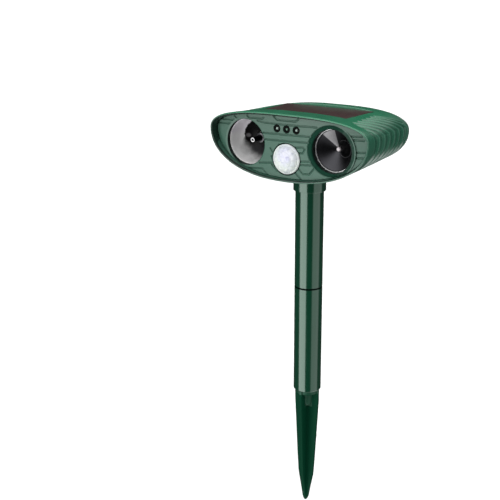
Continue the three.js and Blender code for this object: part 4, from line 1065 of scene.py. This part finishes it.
upper = lathe("upper_pole_tube", soft([(8.4, SEAM_Z - SPIGOT_LEN), (9.5, SEAM_Z - SPIGOT_LEN), (SPIGOT_R, SEAM_Z - SPIGOT_LEN + 0.8), (SPIGOT_R, SEAM_Z + 0.65), (POLE_R, SEAM_Z + 0.65),
                                      (POLE_R, HZ + SOCKET_TOP - 0.9), (POLE_R - 0.6, HZ + SOCKET_TOP - 0.3), (10.2, HZ + SOCKET_TOP - 0.3), (10.2, SEAM_Z + 4), (8.4, SEAM_Z + 2)],
                                     [0.1, 0.3, 0.3, 0.1, 0.3, 0.2, 0.2, 0.1, 0.5, 0.3], 6, True), "z", 0, 0, 160, closed=True)
piece(upper, "upper_pole", ["upper_pole"], M_POLE, lift=0, sharp=40)
lower = lathe("lower_pole_tube", soft([(POLE_BORE, LOWER_BOTTOM), (POLE_R, LOWER_BOTTOM), (POLE_R, SEAM_Z - 0.55), (POLE_BORE, SEAM_Z - 0.55)], [0.3, 1.3, 0.3, 0.3], 6, True), "z", 0, 0, 160, closed=True)
piece(lower, "lower_pole", ["lower_pole"], M_POLE, lift=0, sharp=40)

FIN = np.array([[11.58, 3.2], [11.52, -7.1], [10.62, -23.6], [9.5, -43.2], [8.38, -63.0], [7.33, -78.0], [6.53, -83.1], [5.53, -88.2], [4.45, -93.2], [2.68, -103.4], [0.9, -107.3]])


def cross_section(z, shrink=0.0):
    R = float(np.interp(-z, -FIN[:, 1], FIN[:, 0])) - shrink
    t = min(FIN_T / 2, 0.72 * R)
    fil = min(0.7, 0.25 * max(R - t, 0.05))
    bev = min(0.42, 0.45 * t, 0.45 * max(R - t, 0.05))
    quad = []
    for k in range(6):                       # fillet at the root
        q = math.radians(270 - 90 * k / 5)
        quad.append((t + fil + fil * math.cos(q), t + fil + fil * math.sin(q)))
    for k in range(1, 6):
        quad.append((t, t + fil + (R - bev - t - fil) * k / 6))
    for k in range(5):                       # rounded fin edge
        q = math.radians(0 + 90 * k / 4)
        quad.append((t - bev + bev * math.cos(q), R - bev + bev * math.sin(q)))
    for k in range(5):
        q = math.radians(90 + 90 * k / 4)
        quad.append((-t + bev + bev * math.cos(q), R - bev + bev * math.sin(q)))
    for k in range(1, 6):
        quad.append((-t, R - bev - (R - bev - t - fil) * k / 6))
    ring = []
    for k in range(4):
        c, s = math.cos(k * math.pi / 2), math.sin(k * math.pi / 2)
        for x, y in quad:
            ring.append((x * c - y * s, x * s + y * c, z))
    return np.array(ring)


rings = [cross_section(3.2, 0.35), cross_section(3.12, 0.12), cross_section(2.9, 0.0)]
for z in np.concatenate([np.linspace(2.0, -76, 60), np.linspace(-77, -106.6, 50)]):
    rings.append(cross_section(z))
rings += [cross_section(-106.9, 0.05), cross_section(-107.15, 0.2), cross_section(-107.28, 0.45)]
for ring in rings:                            # two small witness marks on the edge of one fin
    z = ring[0, 2]
    for z0 in (-41.0, -80.5):
        g = 0.28 * math.exp(-((z - z0) / 0.9) ** 2)
        far = ring[:, 0] > 0.6 * ring[:, 0].max()
        ring[far & (np.abs(ring[:, 1]) < 1.0), 0] += g
cross = raw("ground_spike_moulding", *loft(rings))
flange = lathe("flange", soft([(0, 0), (FLANGE_R, 0), (FLANGE_R, FLANGE_TOP), (SPIGOT_R, FLANGE_TOP), (SPIGOT_R, 23.4), (9.4, 24.2), (8.2, 24.2), (8.2, 5.2), (0, 5.2)], [0, 0.35, 0.15, 0.1, 0.3, 0.3, 0.3, 0.4, 0], 4), "z", 0, 0, 128)
stub = lathe("stub", [(0, 1), (5.7, 1), (5.7, -8.6), (5.62, -9.7), (5.35, -10.7), (4.9, -11.6), (4.25, -12.35), (3.4, -12.9), (2.4, -13.2), (1.2, -13.32), (0, -13.35)], "z", 0, 0, 96)
pads = []
for x, z, r in ((8.6, -5.0, 0.85), (8.4, -12.4, 0.7), (4.2, -66.5, 1.0)):      # marks of the ejector pins
    pads.append(lathe("pad", [(0, -FIN_T / 2 - 0.32), (r - 0.2, -FIN_T / 2 - 0.3), (r, -FIN_T / 2 - 0.1), (r, -FIN_T / 2 + 0.4), (0, -FIN_T / 2 + 0.4)], "y", x, z, 32))
spike = combine(cross, [flange, stub] + pads, "UNION")
piece(spike, "spike", ["ground_spike"], M_SPIKE, lift=0, sharp=40)

# ------------------------------------------------------------------ controls on the back

base_y = BACK_Y - 3.7


def knurl(a, r, h):
    return -0.22 * (0.5 - 0.5 * np.cos(28 * a)) * (1.0 if r > DIAL_R - 0.45 else 0.0)


knob = lathe("mode_knob", [(0, base_y), (DIAL_R - 0.5, base_y), (DIAL_R - 0.12, base_y + 0.12), (DIAL_R, base_y + 0.5), (DIAL_R, BACK_Y - 0.6), (DIAL_R - 0.12, BACK_Y - 0.1), (DIAL_R - 0.5, BACK_Y + 0.28), (DIAL_R - 1.1, BACK_Y + 0.4), (0, BACK_Y + 0.4)], "y", DIAL_X, DIAL_Z, 224, wobble=knurl)
bar = slab("bar", DIAL_X - 1.8, DIAL_X + 1.8, BACK_Y - 0.5, BACK_Y + 3.6, DIAL_Z - 6.9, DIAL_Z + 6.9, 0.6)
knob = combine(knob, [bar], "UNION")
knob = combine(knob, [rod("bore", 3.2, base_y - 5, BACK_Y - 0.0, DIAL_X, DIAL_Z, 48), slab("pointer", DIAL_X - 0.4, DIAL_X + 0.4, BACK_Y + 3.25, BACK_Y + 5, DIAL_Z + 1.8, DIAL_Z + 6.2, 0.15)])
piece(knob, "dial", ["mode_dial"], M_BLACK, sharp=45)
spindle = lathe("dial_shaft", soft([(0, BOARD_Y + 4.9), (2.9, BOARD_Y + 4.9), (2.9, BACK_Y - 0.3), (0, BACK_Y - 0.3)], 0.2, 3), "y", DIAL_X, DIAL_Z, 48)
piece(spindle, "dial", ["dial_spindle"], M_STEEL)

cap = [(0, BOARD_Y + 7), (2.2, BOARD_Y + 7), (2.2, BACK_Y - 5), (BUTTON_R + 1.4, BACK_Y - 5), (BUTTON_R + 1.4, BACK_Y - 2.75), (BUTTON_R, BACK_Y - 2.75), (BUTTON_R, BACK_Y + 1.0), (BUTTON_R - 0.15, BACK_Y + 1.4), (BUTTON_R - 0.55, BACK_Y + 1.72),
       (BUTTON_R - 1.1, BACK_Y + 1.8), (2.6, BACK_Y + 1.62), (1.3, BACK_Y + 1.42), (0, BACK_Y + 1.36)]
piece(lathe("power_button_cap", cap, "y", BUTTON_X, BUTTON_Z, 96), "button", ["power_button"], M_RED)

flap = slab("port_flap_leaf", PORT_X - 7, PORT_X + 7, BACK_Y + 0.3, BACK_Y + 2.1, PORT_Z - 4.6, HINGE_Z - 0.3, 0.45)
barrel = lathe("barrel", soft([(0, -9.1), (0.6, -9.1), (0.6, -7), (1.15, -7), (1.15, 7), (0.6, 7), (0.6, 9.1), (0, 9.1)], 0.1, 3), "y", 0, 0, 40)
barrel.data.transform(Matrix.Translation((PORT_X * 0.001, HINGE_Y * 0.001, HINGE_Z * 0.001)) @ Matrix.Rotation(-math.pi / 2, 4, "Z"))
grip = slab("grip", PORT_X - 2.5, PORT_X + 2.5, BACK_Y + 1.2, BACK_Y + 2.9, PORT_Z - 5.6, PORT_Z - 3.6, 0.4)
flap = combine(flap, [barrel, grip], "UNION")
flap = combine(flap, [slab("panel_line", PORT_X - 5.2, PORT_X + 5.2, BACK_Y + 1.85, BACK_Y + 4, PORT_Z - 2.6, PORT_Z + 4.6, 0.2)])
piece(flap, "flap", ["port_flap"], M_RUBBER, sharp=40)

for k, (x, z) in enumerate(SCREWS):
    s = lathe(f"cover_screw_body_{k + 1}", [(0, 41.5), (1.45, 43), (1.45, BACK_Y - 2.7), (2.6, BACK_Y - 2.7), (2.75, BACK_Y - 2.55), (2.75, BACK_Y - 1.6), (2.6, BACK_Y - 1.3), (2.2, BACK_Y - 1.0), (1.6, BACK_Y - 0.8), (0.8, BACK_Y - 0.71), (0, BACK_Y - 0.7)], "y", x, z, 48)
    rec = slab("recess", -0.38, 0.38, -1.4, 1.0, -1.6, 1.6, 0.1)
    rec2 = slab("recess2", -1.6, 1.6, -1.4, 1.0, -0.38, 0.38, 0.1)
    turn = Matrix.Translation((x * 0.001, (BACK_Y - 0.7) * 0.001, z * 0.001)) @ Matrix.Rotation(math.radians(20 + 37 * k), 4, "Y")
    rec.data.transform(turn)
    rec2.data.transform(turn)
    s = combine(s, [rec, rec2])
    piece(s, "head", [f"cover_screw_{k + 1}"], M_STEEL)

# ------------------------------------------------------------------ carried-over CAD nodes

CARRIED = {"solar_tape": M_FOAM, "strobe_board": M_BOARD, "voice_coil": M_COPPER, "speaker_magnet": M_FERRITE, "sensor_can": M_STEEL, "sensor_board": M_BOARD, "light_board": M_BOARD,
           "main_board": M_BOARD, "controller_chip": M_BLACK, "drive_transformer": M_FERRITE, "battery_tray": M_BLACK, "battery_cell_1": M_WRAP, "battery_cell_2": M_WRAP, "battery_cell_3": M_WRAP,
           "controls_board": M_BOARD, "rotary_switch": M_BLACK, "tact_switch": M_BLACK, "charge_socket": M_STEEL, "solar_lead": M_WIRE, "strobe_lead": M_WIRE, "speaker_lead": M_WIRE, "sensor_lead": M_WIRE, "battery_lead": M_WIRE}
for name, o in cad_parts.items():
    if o.hide_render:
        continue
    mat = CARRIED[name]
    if o.material_slots:
        for s in o.material_slots:
            s.material = mat
    else:
        o.data.materials.append(mat)

# ------------------------------------------------------------------ floor, light, camera

bpy.ops.mesh.primitive_plane_add(size=12.0, location=(0, 0, cad_lo.z - 0.03))
floor = bpy.context.object
floor.name = "floor"
fm, t, b, co = new_material("pale_floor")
t.put(b.inputs["Base Color"], t.mix(t.noise(co, 3.0, 3.0), (0.90, 0.90, 0.90), (0.94, 0.94, 0.94)))
b.inputs["Roughness"].default_value = 0.9
b.inputs["Specular IOR Level"].default_value = 0.1
floor.data.materials.append(fm)
floor.visible_glossy = False
floor.visible_shadow = False
floor.visible_diffuse = False

psi, elev, roll = 0.5895, 0.2999, -0.0044
world = bpy.data.worlds.new("studio")
bpy.context.scene.world = world
world.use_nodes = True
w = Tree(world.node_tree)
w.n.clear()
wout = w.node("ShaderNodeOutputWorld")
bg = w.node("ShaderNodeBackground")
d = w.node("ShaderNodeTexCoord").outputs["Generated"]
fwd = w.vmath("DOT_PRODUCT", d, (math.sin(psi), -math.cos(psi), 0.0))
side = w.vmath("DOT_PRODUCT", d, (math.cos(psi), math.sin(psi), 0.0))
_, _, dz = w.xyz(d)
az = w.math("DEGREES", w.math("ARCTAN2", side, fwd))
el = w.math("DEGREES", w.math("ARCSINE", dz))
level = w.math("ADD", w.ramp(el, 40, 60, 0.0, 2.0), 0.045)
level = w.math("ADD", level, w.ramp(el, -80, -38, 1.35, 0.0))
left_box = w.math("MULTIPLY", w.band(az, -84, -76, -26, -20), w.band(el, -58, -46, 34, 52))
right_box = w.math("MULTIPLY", w.band(az, 22, 30, 84, 96), w.band(el, -58, -46, 34, 52))
level = w.math("ADD", level, w.math("MULTIPLY", left_box, 2.7))
rim_box = w.math("MULTIPLY", w.band(az, 106, 112, 150, 162), w.band(el, 20, 26, 46, 54))
low_box = w.math("MULTIPLY", w.band(az, 60, 84, 150, 172), w.band(el, -86, -74, -46, -36))
level = w.math("ADD", level, w.math("MULTIPLY", right_box, 0.85))
high_box = w.math("MULTIPLY", w.band(az, 10, 24, 88, 104), w.band(el, 8, 16, 50, 60))
level = w.math("ADD", level, w.math("MULTIPLY", high_box, 1.15))
level = w.math("ADD", level, w.math("MULTIPLY", rim_box, 1.15))
level = w.math("ADD", level, w.math("MULTIPLY", low_box, 1.7))
cam_ray = w.node("ShaderNodeLightPath").outputs["Is Camera Ray"]
level = w.math("ADD", w.math("MULTIPLY", level, w.math("SUBTRACT", 1.0, cam_ray)), w.math("MULTIPLY", cam_ray, 1.05))
bg.inputs["Color"].default_value = (1, 1, 1, 1)
w.put(bg.inputs["Strength"], level)
w.l.new(bg.outputs[0], wout.inputs["Surface"])

scene = bpy.context.scene
scene.view_settings.view_transform = "Standard"
scene.view_settings.look = "None"
scene.view_settings.exposure = 0.0

cam_data = bpy.data.cameras.new("camera")
cam = bpy.data.objects.new("camera", cam_data)
scene.collection.objects.link(cam)
cam_data.sensor_width = 36.0
cam_data.lens = 1023.6805 / 500 * 36.0
cam_data.clip_start, cam_data.clip_end = 0.01, 50
fw = Vector((-math.sin(psi) * math.cos(elev), math.cos(psi) * math.cos(elev), -math.sin(elev)))
rt = Vector((math.cos(psi), math.sin(psi), 0))
up = rt.cross(fw)
r2 = math.cos(roll) * rt + math.sin(roll) * up
u2 = -math.sin(roll) * rt + math.cos(roll) * up
eye = Vector((-0.0594824, 0.0, 0.1189323)) - 0.8934671 * fw
cam.matrix_world = Matrix(((r2.x, u2.x, -fw.x, eye.x), (r2.y, u2.y, -fw.y, eye.y), (r2.z, u2.z, -fw.z, eye.z), (0, 0, 0, 1)))
scene.camera = cam
